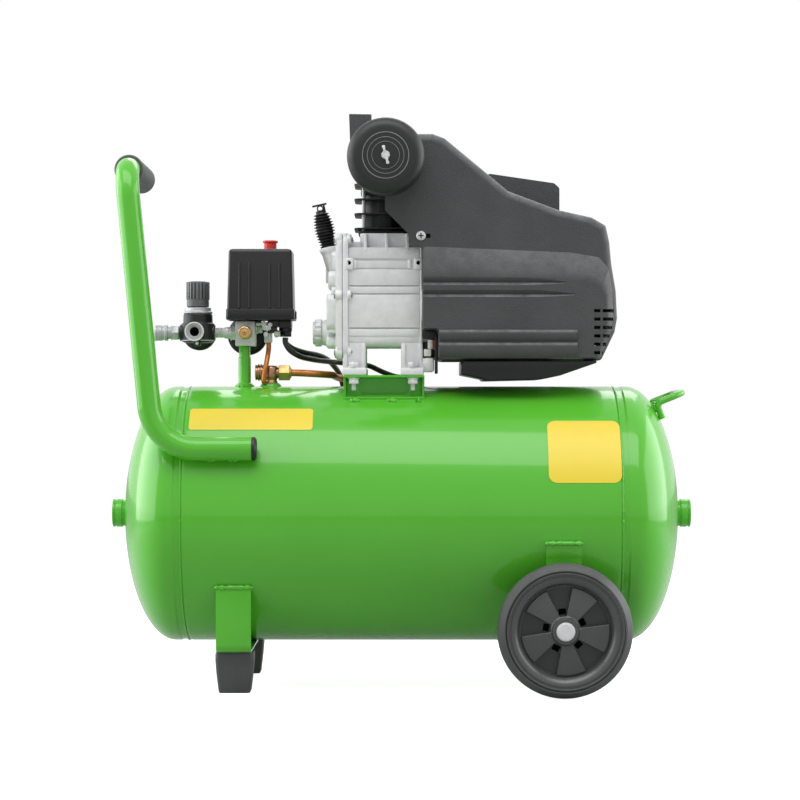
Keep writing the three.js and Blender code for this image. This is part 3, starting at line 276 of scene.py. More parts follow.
class Shape:
    """Closed shells gathered in one mesh. Every method that changes it gives it back."""

    def __init__(self) -> None:
        """Starts empty."""
        self.mesh = bmesh.new()

    def _take(self, part: bmesh.types.BMesh, place: Matrix) -> Self:
        """Moves a finished part into place, turns its faces outwards and adds it."""
        bmesh.ops.transform(part, matrix=place, verts=part.verts)
        bmesh.ops.recalc_face_normals(part, faces=part.faces)
        carrier = bpy.data.meshes.new("carrier")
        part.to_mesh(carrier)
        part.free()
        self.mesh.from_mesh(carrier)
        bpy.data.meshes.remove(carrier)
        return self

    def add(self, other: "Shape", *places: Matrix) -> Self:
        """Adds a copy of another shape at each place, or one copy where it is."""
        for place in places or (STILL,):
            self._take(other.mesh.copy(), place)
        return self

    def revolve(self, profile: Sequence[Pair], axis: Axis = Axis.Z, centre: Triple = ORIGIN,
                steps: int = 48) -> Self:
        """Turns a profile of (radius, height) points about an axis.

        Args:
            profile: Points from the bottom up on the outside. It closes on itself off the axis.
            axis: Axis of the turned shape.
            centre: Where its origin goes.
            steps: Number of flats round it.
        """
        part = bmesh.new()
        verts = [part.verts.new((radius, 0, height)) for radius, height in profile]
        edges = [part.edges.new(pair) for pair in zip(verts, verts[1:])]
        if profile[0][0] > 0 and profile[-1][0] > 0:
            edges.append(part.edges.new((verts[-1], verts[0])))
        bmesh.ops.spin(part, geom=verts + edges, cent=ORIGIN, axis=(0, 0, 1), angle=math.tau,
                       steps=steps, use_merge=True)
        bmesh.ops.remove_doubles(part, verts=part.verts, dist=SAME_POINT)
        return self._take(part, Matrix.Translation(centre) @ axis.matrix)

    def turned(self, profile: Sequence[Pair], soft: float, chords: int = 2, axis: Axis = Axis.Z,
               centre: Triple = ORIGIN, steps: int = 48) -> Self:
        """Revolves a profile with rounded corners; it is open where it starts on the axis."""
        return self.revolve(rounded(profile, soft, chords, profile[0][0] > 0), axis, centre, steps)

    def rod(self, radius: float, axis: Axis, low: float, high: float, centre: Triple = ORIGIN,
            edge: float = 0.4, steps: int = 32) -> Self:
        """Round bar between two heights, with softened ends."""
        profile = [(0, low), (radius - edge, low), (radius, low + edge), (radius, high - edge),
                   (radius - edge, high), (0, high)]
        return self.revolve(profile, axis, centre, steps)

    def ring(self, outer: float, inner: float, axis: Axis, low: float, high: float,
             centre: Triple = ORIGIN, edge: float = 0.4, steps: int = 48) -> Self:
        """Ring between two heights, with softened edges."""
        profile = [(inner, low), (outer, low), (outer, high), (inner, high)]
        return self.turned(profile, edge, 2, axis, centre, steps)

    def prism(self, outline: Sequence[Pair], axis: Axis, low: float, high: float,
              centre: Triple = ORIGIN, edge: float = 0.0, segments: int = 2,
              place: Matrix = STILL) -> Self:
        """Draws an outline out along an axis.

        Args:
            outline: Closed outline.
            axis: Axis that it is drawn along.
            low: Where it starts.
            high: Where it ends.
            centre: Where its origin goes.
            edge: Rounding of the edges at both ends.
            segments: Steps in that rounding.
            place: A further turn about the origin, before the centre is added.
        """
        part = bmesh.new()
        face = part.faces.new([part.verts.new((u, v, low)) for u, v in outline])
        drawn = bmesh.ops.extrude_face_region(part, geom=[face], use_keep_orig=True)
        moved = [v for v in drawn["geom"] if isinstance(v, bmesh.types.BMVert)]
        bmesh.ops.translate(part, vec=(0, 0, high - low), verts=moved)
        if edge:
            soften(part, level_edges(part), edge, segments)
        return self._take(part, Matrix.Translation(centre) @ place @ axis.matrix)

    def loft(self, sections: Sequence[tuple[Sequence[Pair], float]], axis: Axis) -> Self:
        """Skins outlines that have equally many points, each given with its place on the axis."""
        part = bmesh.new()
        loops = [[part.verts.new((u, v, level)) for u, v in outline] for outline, level in sections]
        rings = [[part.edges.new(pair) for pair in zip(loop, loop[1:] + loop[:1])]
                 for loop in loops]
        for lower, upper in zip(rings, rings[1:]):
            bmesh.ops.bridge_loops(part, edges=lower + upper)
        part.faces.new(loops[0])
        part.faces.new(loops[-1])
        return self._take(part, axis.matrix)

    def block(self, low: Triple, high: Triple, edge: float = 0.0, segments: int = 2) -> Self:
        """Box between two corners, with its edges rounded where a size is given."""
        part = bmesh.new()
        bmesh.ops.create_cube(part, size=1.0)
        bmesh.ops.scale(part, vec=Vector(high) - Vector(low), verts=part.verts)
        if edge:
            soften(part, part.edges[:], edge, segments)
        return self._take(part, Matrix.Translation((Vector(high) + Vector(low)) / 2))

    def slab(self, side: int, x: Pair, y: Pair, z: Pair, edge: float = 0.0,
             segments: int = 2) -> Self:
        """Block on one side of the middle plane, with Y given as distances from that plane."""
        near, far = mirrored(side, *y)
        return self.block((x[0], near, z[0]), (x[1], far, z[1]), edge, segments)

    def hexagon(self, across: float, axis: Axis, low: float, high: float, centre: Triple = ORIGIN,
                degrees: float = 0.0) -> Self:
        """Hexagon bar with chamfered ends, as on nuts and fittings, turned round its axis."""
        part = bmesh.new()
        radius = across / math.sqrt(3)
        bmesh.ops.create_cone(part, cap_ends=True, segments=6, radius1=radius, radius2=radius,
                              depth=high - low)
        soften(part, level_edges(part), min(0.07 * across, (high - low) * 0.3))
        place = Matrix.Translation(centre) @ axis.matrix @ turn(degrees, "Z")
        return self._take(part, place @ Matrix.Translation((0, 0, (low + high) / 2)))

    def tube(self, path: Sequence[Vector], radius: float | Sequence[float], sides: int) -> Self:
        """Sweeps a round section along a path and closes its ends.

        Args:
            path: Stations along the path.
            radius: One radius, or one for each station.
            sides: Flats round the section.
        """
        part = bmesh.new()
        radii = [radius] * len(path) if isinstance(radius, (int, float)) else radius
        tangent = (path[1] - path[0]).normalized()
        normal = tangent.orthogonal().normalized()
        previous: list[bmesh.types.BMEdge] = []
        for i, station in enumerate(path):
            ahead = (path[min(i + 1, len(path) - 1)] - path[max(i - 1, 0)]).normalized()
            normal.rotate(tangent.rotation_difference(ahead))
            tangent = ahead
            basis = Matrix((normal, tangent.cross(normal), tangent)).transposed().to_4x4()
            made = bmesh.ops.create_circle(part, segments=sides, radius=radii[i],
                                           matrix=Matrix.Translation(station) @ basis)
            loop = list({edge for vert in made["verts"] for edge in vert.link_edges})
            if previous:
                bmesh.ops.bridge_loops(part, edges=previous + loop)
            previous = loop
        bmesh.ops.holes_fill(part, edges=[e for e in part.edges if e.is_boundary], sides=0)
        return self._take(part, STILL)

    def bead(self, path: Sequence[Vector], radius: float, pitch: float) -> Self:
        """Weld bead: a rod laid in overlapping drops, with two stations to a pitch."""
        least, sides, end_share = 6, 10, 0.45
        length = sum((b - a).length for a, b in zip(path, path[1:]))
        count = max(int(length / pitch * 2), least)
        stations: list[Vector] = []
        for i in range(count + 1):
            wanted = length * i / count
            for start, end in zip(path, path[1:]):
                run = (end - start).length
                if wanted <= run + SAME_LEVEL:
                    stations.append(start.lerp(end, min(wanted / run, 1)))
                    break
                wanted -= run
        radii = [radius * (1 + 0.2 * math.sin(i * 2.1) + 0.13 * math.sin(i * 4.7 + 1))
                 for i in range(len(stations))]
        radii[0] = radii[-1] = radius * end_share
        return self.tube(stations, radii, sides)

    def cut(self, *tools: "Shape") -> Self:
        """Takes other shapes out of this one."""
        body = as_object("body", self.mesh)
        for tool in tools:
            change = body.modifiers.new("cut", "BOOLEAN")
            change.operation = "DIFFERENCE"
            change.solver = "EXACT"
            change.object = as_object("tool", tool.mesh)
        result = evaluated(body)
        self.mesh.clear()
        self.mesh.from_mesh(result)
        bpy.data.meshes.remove(result)
        for change in list(body.modifiers):
            bpy.data.objects.remove(change.object)
        bpy.data.objects.remove(body)
        bmesh.ops.remove_doubles(self.mesh, verts=self.mesh.verts, dist=SAME_CORNER_AFTER_CUT)
        return self

    def drill(self, radius: float, axis: Axis, low: float, high: float, centre: Triple = ORIGIN,
              steps: int = 48) -> Self:
        """Cuts a round hole."""
        return self.cut(Shape().rod(radius, axis, low, high, centre, 0, steps))


# ---------- Shader groups ----------
def linear(code: int) -> tuple[float, float, float, float]:
    """Linear colour of a hexadecimal display colour."""
    channels = [((code >> shift) & 255) / 255 for shift in (16, 8, 0)]
    made = [c / 12.92 if c <= 0.04045 else ((c + 0.055) / 1.055) ** 2.4 for c in channels]
    return made[0], made[1], made[2], 1.0


@dataclass
class Graph:
    """Node tree in the making.

    Args:
        tree: Tree of a material, of the world or of a node group.
    """

    tree: bpy.types.NodeTree

    def node(self, kind: str, settings: dict | None = None, **inputs) -> bpy.types.Node:
        """Adds a node.

        Args:
            kind: Type of the node without its ShaderNode prefix.
            settings: Attributes of the node.
            inputs: Values or sockets for its inputs, with spaces in their names as underscores.
        """
        made = self.tree.nodes.new("ShaderNode" + kind)
        for name, value in (settings or {}).items():
            setattr(made, name, value)
        for name, value in inputs.items():
            self.feed(made, name.replace("_", " "), value)
        return made

    def feed(self, node: bpy.types.Node, name: str | int, value) -> None:
        """Sets or links one input of a node."""
        if isinstance(value, bpy.types.NodeSocket):
            self.tree.links.new(value, node.inputs[name])
        else:
            node.inputs[name].default_value = value

    def group(self, tree: bpy.types.NodeTree, **inputs) -> bpy.types.NodeSocket:
        """Adds a node group and gives its result."""
        return self.node("Group", {"node_tree": tree}, **inputs).outputs[0]

    def noise(self, place, scale, detail: float, roughness: float = 0.5) -> bpy.types.NodeSocket:
        """Adds a noise texture and gives its value."""
        return self.node("TexNoise", Vector=place, Scale=scale, Detail=detail,
                         Roughness=roughness).outputs["Fac"]

    def math(self, operation: str, first, second, clamp: bool = False) -> bpy.types.NodeSocket:
        """Adds a Math node and gives its result."""
        made = self.node("Math", {"operation": operation, "use_clamp": clamp})
        self.feed(made, 0, first)
        self.feed(made, 1, second)
        return made.outputs[0]

    def ramp(self, value, low: float, high: float, to_low: float = 0.0,
             to_high: float = 1.0) -> bpy.types.NodeSocket:
        """Maps a range of a value to another range, clamped."""
        return self.node("MapRange", Value=value, From_Min=low, From_Max=high, To_Min=to_low,
                         To_Max=to_high).outputs[0]

    def blend(self, factor, first, second) -> bpy.types.NodeSocket:
        """Mixes two colours."""
        made = self.node("Mix", {"data_type": "RGBA"})
        for index, value in ((0, factor), (6, first), (7, second)):
            self.feed(made, index, value)
        return made.outputs[2]


@dataclass
class Group(Graph):
    """Node group in the making, with a vector and some numbers going in and one number out.

    Args:
        given: Sockets of what goes in, by name.
        result: Socket that takes what comes out.
    """

    given: dict[str, bpy.types.NodeSocket]
    result: bpy.types.NodeSocket

    @classmethod
    def start(cls, name: str, output: str, *numbers: str) -> "Group":
        """Makes the group with its sockets."""
        tree = bpy.data.node_groups.new(name, "ShaderNodeTree")
        tree.interface.new_socket(name="Vector", in_out="INPUT", socket_type="NodeSocketVector")
        for label in numbers:
            tree.interface.new_socket(name=label, in_out="INPUT", socket_type="NodeSocketFloat")
        tree.interface.new_socket(name=output, in_out="OUTPUT", socket_type="NodeSocketFloat")
        source, sink = tree.nodes.new("NodeGroupInput"), tree.nodes.new("NodeGroupOutput")
        return cls(tree, dict(source.outputs.items()), sink.inputs[0])

    def finish(self, value: bpy.types.NodeSocket) -> bpy.types.NodeTree:
        """Sends a value out and gives the finished group."""
        self.tree.links.new(value, self.result)
        return self.tree


def mottle_group() -> bpy.types.NodeTree:
    """Cloudy mask from 0 to 1, at a scale and contrast."""
    group = Group.start("mottle", "Mask", "Scale", "Contrast")
    noise = group.noise(group.given["Vector"], group.given["Scale"], 5.0, 0.6)
    spread = group.math("MULTIPLY", group.math("SUBTRACT", noise, 0.5), group.given["Contrast"])
    return group.finish(group.math("ADD", spread, 0.5, clamp=True))


def grain_group() -> bpy.types.NodeTree:
    """Fine height of a cast, moulded or sprayed surface, with broad waves under it."""
    group = Group.start("grain", "Height", "Scale", "Waves")
    place, scale = group.given["Vector"], group.given["Scale"]
    fine = group.noise(place, scale, 3.0, 0.55)
    broad = group.noise(place, group.math("MULTIPLY", scale, 0.07), 1.0)
    waves = group.math("MULTIPLY", broad, group.given["Waves"])
    return group.finish(group.math("ADD", fine, waves))


def dirt_and_top_light_group() -> bpy.types.NodeTree:
    """Mask of faces that look up, broken up by noise: settled dirt, and painted top light where the
    amount is large.
    """
    group = Group.start("dust_and_top_light", "Mask", "Amount")
    facing = group.node("SeparateXYZ", Vector=group.node("NewGeometry").outputs["Normal"])
    upward = group.ramp(facing.outputs["Z"], 0.1, 0.8)
    patches = group.ramp(group.noise(group.given["Vector"], 55.0, 6.0, 0.7), 0.3, 0.7)
    spread = group.math("MULTIPLY", upward, patches)
    return group.finish(group.math("MULTIPLY", spread, group.given["Amount"]))


def scuff_group() -> bpy.types.NodeTree:
    """Mask of thin scratches and rubbed spots."""
    group = Group.start("scuff", "Mask", "Amount")
    place = group.given["Vector"]
    stretched = group.node("Mapping", Vector=place, Rotation=(0.4, 0.2, 0.7),
                           Scale=(6.0, 90.0, 40.0)).outputs[0]
    thin = group.ramp(group.noise(stretched, 9.0, 4.0, 0.6), 0.66, 0.7)
    where = group.ramp(group.noise(place, 14.0, 2.0), 0.52, 0.62)
    both = group.math("MULTIPLY", thin, where)
    return group.finish(group.math("MULTIPLY", both, group.given["Amount"]))


@dataclass
class Effects:
    """The shader groups that the finishes share."""

    mottle: bpy.types.NodeTree = field(default_factory=mottle_group)
    grain: bpy.types.NodeTree = field(default_factory=grain_group)
    dust_and_top_light: bpy.types.NodeTree = field(default_factory=dirt_and_top_light_group)
    scuff: bpy.types.NodeTree = field(default_factory=scuff_group)


# ---------- Finishes ----------
# Grey laid on faces that look up: settled dirt, and painted top light where a finish lays much of it.
DUST_AND_TOP_LIGHT_COLOUR = 0xA8A9AA
COAT_ROUGHNESS = 0.06


@dataclass(frozen=True)
class Finish:
    """Surface of one material.

    Args:
        name: Name of the material.
        colour: Main display colour.
        shade: Display colour that clouds it.
        roughness: Middle roughness.
        spread: How far the roughness varies.
        clouds: Scale of the clouding.
        grain: Scale of the grain.
        depth: Depth of the grain in millimetres.
        slot: Material slot of the record, where it has another name.
        contrast: Contrast of the clouding.
        metallic: 1 for bare metal.
        specular: Specular level.
        dust_and_top_light: Amount of grey laid on faces that look up: settled dirt, and painted top
            light where it is large.
        coat: Weight of a clear gloss coat.
        waves: Share of broad waves in the grain.
        scuffs: Amount of scratches.
        scuff_colour: Display colour of the scratches.
    """

    name: str
    colour: int
    shade: int
    roughness: float
    spread: float
    clouds: float
    grain: float
    depth: float
    slot: str = ""
    contrast: float = 2.0
    metallic: float = 0.0
    specular: float = 0.5
    dust_and_top_light: float = 0.0
    coat: float = 0.0
    waves: float = 0.0
    scuffs: float = 0.0
    scuff_colour: int = 0xB0B0AC

    def build(self, effects: Effects) -> bpy.types.Material:
        """Makes the material."""
        material = bpy.data.materials.new(self.name)
        material.use_nodes = True
        graph = Graph(material.node_tree)
        place = graph.node("TexCoord").outputs["Object"]
        mottle = graph.group(effects.mottle, Vector=place, Scale=self.clouds,
                             Contrast=self.contrast)
        colour = graph.blend(mottle, linear(self.colour), linear(self.shade))
        low, high = self.roughness - self.spread, self.roughness + self.spread
        rough = graph.ramp(mottle, 0.0, 1.0, low, high)
        for tree, amount, tint, rise in ((effects.scuff, self.scuffs, self.scuff_colour, 0.25),
                                         (effects.dust_and_top_light, self.dust_and_top_light, DUST_AND_TOP_LIGHT_COLOUR, 0.3)):
            if amount:
                mask = graph.group(tree, Vector=place, Amount=amount)
                colour = graph.blend(mask, colour, linear(tint))
                rough = graph.math("ADD", rough, graph.math("MULTIPLY", mask, rise), clamp=True)
        height = graph.group(effects.grain, Vector=place, Scale=self.grain, Waves=self.waves)
        bump = graph.node("Bump", Height=height, Distance=self.depth * MM).outputs[0]
        for name, value in (("Base Color", colour), ("Roughness", rough), ("Normal", bump),
                            ("Metallic", self.metallic), ("Coat Weight", self.coat),
                            ("Coat Roughness", COAT_ROUGHNESS),
                            ("Specular IOR Level", self.specular)):
            graph.feed(graph.tree.nodes["Principled BSDF"], name, value)
        return material


FINISHES = (
    Finish("green_paint", 0x5ABE30, 0x54B62A, 0.24, 0.04, 6, 260, 0.035, contrast=1.4,
           specular=0.25, dust_and_top_light=0.03, coat=0.45, waves=1.5, scuffs=0.1, scuff_colour=0x8CC878),
    Finish("cast_aluminium", 0xF2F2F3, 0xDEDFE1, 0.48, 0.12, 90, 1300, 0.4, contrast=1.6,
           metallic=0.2, dust_and_top_light=0.08, waves=0.6),
    Finish("dark_castings", 0x17181A, 0x262728, 0.5, 0.12, 60, 700, 0.2, "dark_aluminium", 2.2,
           0.3, 0.35, 0.2),
    # The shroud's large amount of grey on faces that look up is mostly painted top light that
    # lightens its sloped top; the rest is settled dirt.
    Finish("shroud_plastic", 0x545556, 0x444546, 0.42, 0.06, 14, 620, 0.7, contrast=1.6,
           specular=0.22, dust_and_top_light=0.5),
    Finish("black_plastic", 0x151516, 0x1D1E1F, 0.38, 0.08, 30, 1100, 0.04, specular=0.35,
           dust_and_top_light=0.12),
    Finish("rubber", 0x424344, 0x4A4B4C, 0.5, 0.08, 35, 1400, 0.1, dust_and_top_light=0.15),
    Finish("brass", 0xCFAF78, 0xB28C58, 0.34, 0.1, 90, 700, 0.03, metallic=0.9),
    Finish("copper", 0xC67C42, 0xB06832, 0.4, 0.1, 60, 600, 0.03, metallic=0.6),
    Finish("nickel", 0xC2C3C5, 0xA2A4A7, 0.4, 0.08, 110, 800, 0.03, metallic=0.3),
    Finish("steel", 0x9A9DA0, 0x7B7E82, 0.36, 0.1, 80, 900, 0.05, metallic=1.0),
    Finish("zinc_plated", 0xE4E5E6, 0xC8CACC, 0.4, 0.1, 120, 700, 0.04, "steel", metallic=0.2),
    Finish("red_plastic", 0xF84A46, 0xEC3A36, 0.32, 0.05, 40, 900, 0.03),
    Finish("filter_paper", 0xD9D2BF, 0xC9C1AC, 0.9, 0.04, 50, 500, 0.2),
    Finish("sight_glass", 0xD6DCD8, 0xC6CEC9, 0.12, 0.04, 30, 500, 0.02, coat=0.6),
    Finish("yellow_label", 0xF2D93C, 0xEAD132, 0.42, 0.05, 8, 600, 0.02, "green_paint", 1.2,
           dust_and_top_light=0.08),
    Finish("dial_white", 0xEDEDE8, 0xE4E4DE, 0.5, 0.04, 20, 500, 0.01, "black_plastic"),
    Finish("lead_sheath", 0x141516, 0x1D1E1F, 0.3, 0.05, 60, 600, 0.05, "rubber"),
    Finish("filter_plastic", 0x161718, 0x131415, 0.45, 0.05, 12, 1300, 0.05, "shroud_plastic",
           1.2, specular=0.45),
    Finish("switch_plastic", 0x161617, 0x121213, 0.32, 0.05, 20, 1300, 0.05, "black_plastic",
           1.2, specular=0.4, dust_and_top_light=0.08),
    Finish("knob_plastic", 0x747678, 0x606264, 0.36, 0.06, 30, 1100, 0.04, "black_plastic"),
    Finish("bronze", 0xBE9678, 0x906450, 0.3, 0.1, 140, 700, 0.04, "brass", 2.2, 1.0),
    Finish("wheel_plastic", 0x3E3F40, 0x363738, 0.3, 0.06, 30, 1100, 0.04, "black_plastic",
           specular=0.7, dust_and_top_light=0.1),
    Finish("grip_rubber", 0x5C5D5F, 0x525355, 0.5, 0.08, 35, 1400, 0.1, "rubber", dust_and_top_light=0.2),
    # Near black for holes, slots and bores: painted shade.
    Finish("painted_shade_black", 0x0A0A0B, 0x101011, 0.8, 0.05, 30, 1100, 0.04, "black_plastic",
           specular=0.05),
    # Darker than the rim: painted shade on the floors of the wheel's pockets.
    Finish("painted_pocket_shade", 0x2E2F30, 0x262728, 0.4, 0.06, 30, 1100, 0.04, "black_plastic",
           dust_and_top_light=0.1),
    # Light grey on the filter's ridges: painted highlight along their crests.
    Finish("painted_ridge_highlight", 0x8A8B8C, 0x747576, 0.3, 0.05, 40, 900, 0.03, "shroud_plastic"),
    Finish("winding_copper", 0xB3622C, 0x7E3F1A, 0.4, 0.1, 300, 500, 0.3, "copper", 3,
           metallic=0.8),
)


class Palette:
    """Material and slot of every finish, by its name."""

    def __init__(self, finishes: Sequence[Finish]) -> None:
        """Builds the shader groups and the materials."""
        effects = Effects()
        self.materials = {finish.name: finish.build(effects) for finish in finishes}
        self.slots = {finish.name: finish.slot or finish.name for finish in finishes}


@dataclass
class Assembly:
    """Sub-assembly whose pieces take their materials from a palette.

    Args:
        palette: Materials of all finishes.
    """

    palette: Palette

    def piece(self, name: str, finish: str, shape: Shape, replaces: str = "", body: str = "frame",
              *, slot: str = "", place: Matrix = STILL, bevel: float = 0.0,
              even: bool = False) -> None:
        """Args:
            name: Name of the piece.
            finish: Name of its finish.
            shape: Shape in millimetres. It can be used again.
            replaces: CAD node that it stands for, where it stands for one.
            body: CAD body that it rides on.
            slot: Material slot of the record, where it isn't the finish's own; not used.
            place: Where the shape goes.
            bevel: Rounding of its sharp edges in millimetres.
            even: Whether flat faces keep their shading beside small curved ones.
        """
        sharp, bevelled = math.radians(32), math.radians(38)  # angles from which edges count
        mesh = shape.mesh.copy()
        bmesh.ops.transform(mesh, matrix=Matrix.Scale(MM, 4) @ place, verts=mesh.verts)
        made = as_object(name, mesh)
        mesh.free()
        made.data.materials.clear()
        made.data.materials.append(self.palette.materials[finish])
        for polygon in made.data.polygons:
            polygon.use_smooth = True
            polygon.material_index = 0
        made.data.set_sharp_from_angle(angle=sharp)
        if bevel:
            change = made.modifiers.new("edges", "BEVEL")
            change.width = bevel * MM
            change.segments = 2
            change.limit_method = "ANGLE"
            change.angle_limit = bevelled
            change.harden_normals = True
        if even:
            change = made.modifiers.new("normals", "WEIGHTED_NORMAL")
            change.mode = "FACE_AREA"
            change.keep_sharp = True
            change.weight = 100
            mesh = evaluated(made)
            made.modifiers.clear()
            made.data = mesh
        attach(made, body)
        if replaces:
            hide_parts(replaces)
        LOG.info("%s: %d faces on %s", name, len(made.data.polygons), body)


# ---------- Shared details ----------
WASHER = 1.4  # thickness of every washer
RISER_X = -196.0
BOLT_X = (-58.4, 13.7)  # places of the bolts that hold the pump on its platform
BOLT_Y = 65.5


def bolt_head(across: float, height: float, washer: float) -> Shape:
    """Hexagon head on its washer, standing on the origin along Z."""
    shape = Shape().hexagon(across, Axis.Z, WASHER, WASHER + height)
    return shape.rod(washer, Axis.Z, 0, WASHER, edge=0.3)


def pan_screw(radius: float, height: float, slot: float) -> Shape:
    """Domed screw head on the origin along Z, with a cross recess."""
    profile = [(0, 0), (radius, 0), (radius, height * 0.35), (radius * 0.8, height * 0.8),
               (radius * 0.4, height), (0, height)]
    head = Shape().revolve(profile, steps=24)
    reach = radius * 0.6
    for a, b in ((reach, slot / 2), (slot / 2, reach)):
        head.cut(Shape().block((-a, -b, height * 0.45), (a, b, height + 1)))
    return head


def stud_with_nut(across: float, height: float, stud: float, reach: float, washer: float) -> Shape:
    """Washer, nut and the end of a threaded stud, standing on the origin along Z."""
    pitch, depth = 1.25, 0.5
    profile: list[Pair] = [(0, 0), (stud, 0)]
    level = height + WASHER
    while level < reach - pitch:
        profile += [(stud, level), (stud - depth, level + pitch / 2)]
        level += pitch
    profile += [(stud - depth, reach - 0.4), (stud - 2 * depth, reach), (0, reach)]
    return bolt_head(across, height, washer).revolve(profile, steps=20)


# ---------- Tank ----------
@dataclass
class Tank(Assembly):
    """Shell, dished heads, riser pipe and the bare label plates.

    Args:
        wall: Thickness of the plate.
        seam: Width of the sunk band between the shell and each head.
        seam_depth: Depth of that band.
        skirt: Straight flange of a head, from the end of the shell.
        crown: Depth of a head's dome.
        neck: Radius of the socket in it.
        head: Box of the right head.
        shell: Box of the shell.
    """

    wall: float = 2.5
    seam: float = 11.0
    seam_depth: float = 1.1
    skirt: float = 17.0
    crown: float = 64.0
    neck: float = 17.0
    head: Box = field(default_factory=lambda: Box.of("tank_head_right"))
    shell: Box = field(default_factory=lambda: Box.of("tank_shell"))

    @property
    def axis_z(self) -> float:
        """Height of the tank's axis."""
        return self.head.centre.z

    @property
    def radius(self) -> float:
        """Outer radius of the tank."""
        return self.head.size.z / 2

    @property
    def top(self) -> float:
        """Height of the shell's upper side."""
        return self.axis_z + self.radius

    @property
    def half(self) -> float:
        """Half length of the shell."""
        return self.shell.high.x

    @property
    def rim(self) -> float:
        """Place where a head's dome starts."""
        return self.half + self.skirt

    def surface(self, x: float, degrees: float, lift: float) -> Vector:
        """Point on the shell at an angle above the horizontal on the near side."""
        angle, reach = math.radians(degrees), self.radius + lift
        return Vector((x, -reach * math.cos(angle), self.axis_z + reach * math.sin(angle)))

    def build_shell(self) -> None:
        """Rolled shell with its seam welds and the riser pipe that carries the manifold."""
        outer, inner = self.radius, self.radius - self.wall
        rim = [(inner, self.half), (outer - 1.2, self.half), (outer - 0.4, self.half - 1.2),
               (outer, self.half - 4)]
        profile = [(r, -x) for r, x in rim] + rim[::-1]
        shape = Shape().revolve(profile, Axis.X, (0, 0, self.axis_z), 160)
        for side in SIDES:
            x = side * (self.half + 1.2)
            shape.bead([self.surface(x, 2 * i, -1.1) for i in range(181)], 1.3, 5)
        foot, end = self.top, self.shell.high.z
        riser = [(0, foot - 2), (9.8, foot - 2), (9.8, foot + 3.2), (7.9, foot + 4.2),
                 (7.9, end - 14), (7.0, end - 13), (7.0, end), (0, end)]
        centre = (RISER_X, 0, 0)
        shape.turned(riser, 0.8, 2, Axis.Z, centre, 40)
        shape.bead(hoop(10.4, Axis.Z, foot + 0.4, centre, 24), 1.6, 3)
        self.piece("tank_shell_skin", "green_paint", shape, "tank_shell")

    def build_heads(self) -> None:
        """Both dished heads with their sunk seams and sockets."""
        start, rim, port = self.half, self.rim, self.head.high.x
        outer, inner = self.radius, self.radius - self.wall
        sunk = outer - self.seam_depth

        def dome(radius: float, depth: float, steps: int, first: int, least: float) -> list[Pair]:
            """Quarter ellipse from the rim in to a least radius."""
            angles = [math.radians(90 * i / steps) for i in range(first, steps + 1)]
            return [(radius * math.cos(a), rim + depth * math.sin(a)) for a in angles
                    if radius * math.cos(a) > least]

        flange = rounded([(inner - 0.4, start - 9), (sunk - 0.4, start - 9),
                          (sunk - 0.4, start + 0.4), (sunk, start + 1.5),
                          (sunk, start + self.seam - 2.5), (outer, start + self.seam),
                          (outer, rim)], 0.9, 3, closed=False)
        profile = [*flange, *dome(outer, self.crown, 40, 1, self.neck - 2),
                   *reversed(dome(inner, self.crown - self.wall, 24, 0, self.neck - 6))]
        centre = (0, 0, self.axis_z)
        shape = Shape().revolve(profile, Axis.X, centre, 160)
        tip, thin, thick = rim + self.crown, self.neck - 0.5, self.neck + 0.5
        end = [(0, tip - 6), (thin - 0.1, tip - 6), (thin - 0.1, tip + 4.2), (thick, tip + 5.2),
               (thick, port - 4.6), (thin, port - 4.0), (thin, port - 2.8), (thick, port - 2.2),
               (thick, port), (12.0, port), (11.2, port - 1.5), (0, port - 1.5)]
        socket = Shape().turned(end, 0.35, 2, Axis.X, centre, 56)
        shape.add(socket.cut(Shape().hexagon(9.5, Axis.X, port - 9, port + 4, centre)))
        shape.bead(hoop(self.neck + 0.8, Axis.X, tip - 1.2, centre, 40), 1.7, 3)
        for name, spin in (("right", 0), ("left", 180)):
            self.piece(f"tank_{name}_head", "green_paint", shape, f"tank_head_{name}",
                       place=turn(spin, "Z"))

    def label(self, name: str, x: Pair, low: float, high: float, corner: float) -> None:
        """Bare yellow plate that follows the shell.

        Args:
            name: Name of the piece.
            x: Its left and right edge.
            low: Lower edge in degrees above the horizontal.
            high: Upper edge in degrees.
            corner: Radius of its corners.
        """
        thickness, gap, strips = 0.35, 0.15, 24
        height = math.radians(high - low) * self.radius
        plate = Shape().prism(rectangle((x[0], 0), (x[1], height), corner, 6), Axis.Z, 0, thickness)
        part = plate.mesh
        for i in range(1, strips):
            bmesh.ops.bisect_plane(part, geom=part.verts[:] + part.edges[:] + part.faces[:],
                                   plane_co=(0, height * i / strips, 0), plane_no=(0, 1, 0))
        for vert in part.verts:
            along = low + math.degrees(vert.co.y / self.radius)
            vert.co = self.surface(vert.co.x, along, gap + vert.co.z)
        bmesh.ops.recalc_face_normals(part, faces=part.faces)
        self.piece(name, "yellow_label", plate)

    def build(self) -> None:
        """Makes the tank."""
        self.build_shell()
        self.build_heads()
        self.label("label_left", (-256, -107), 41.6, 55.4, 4)
        self.label("label_right", (175, 262), 15.6, 47.0, 10)


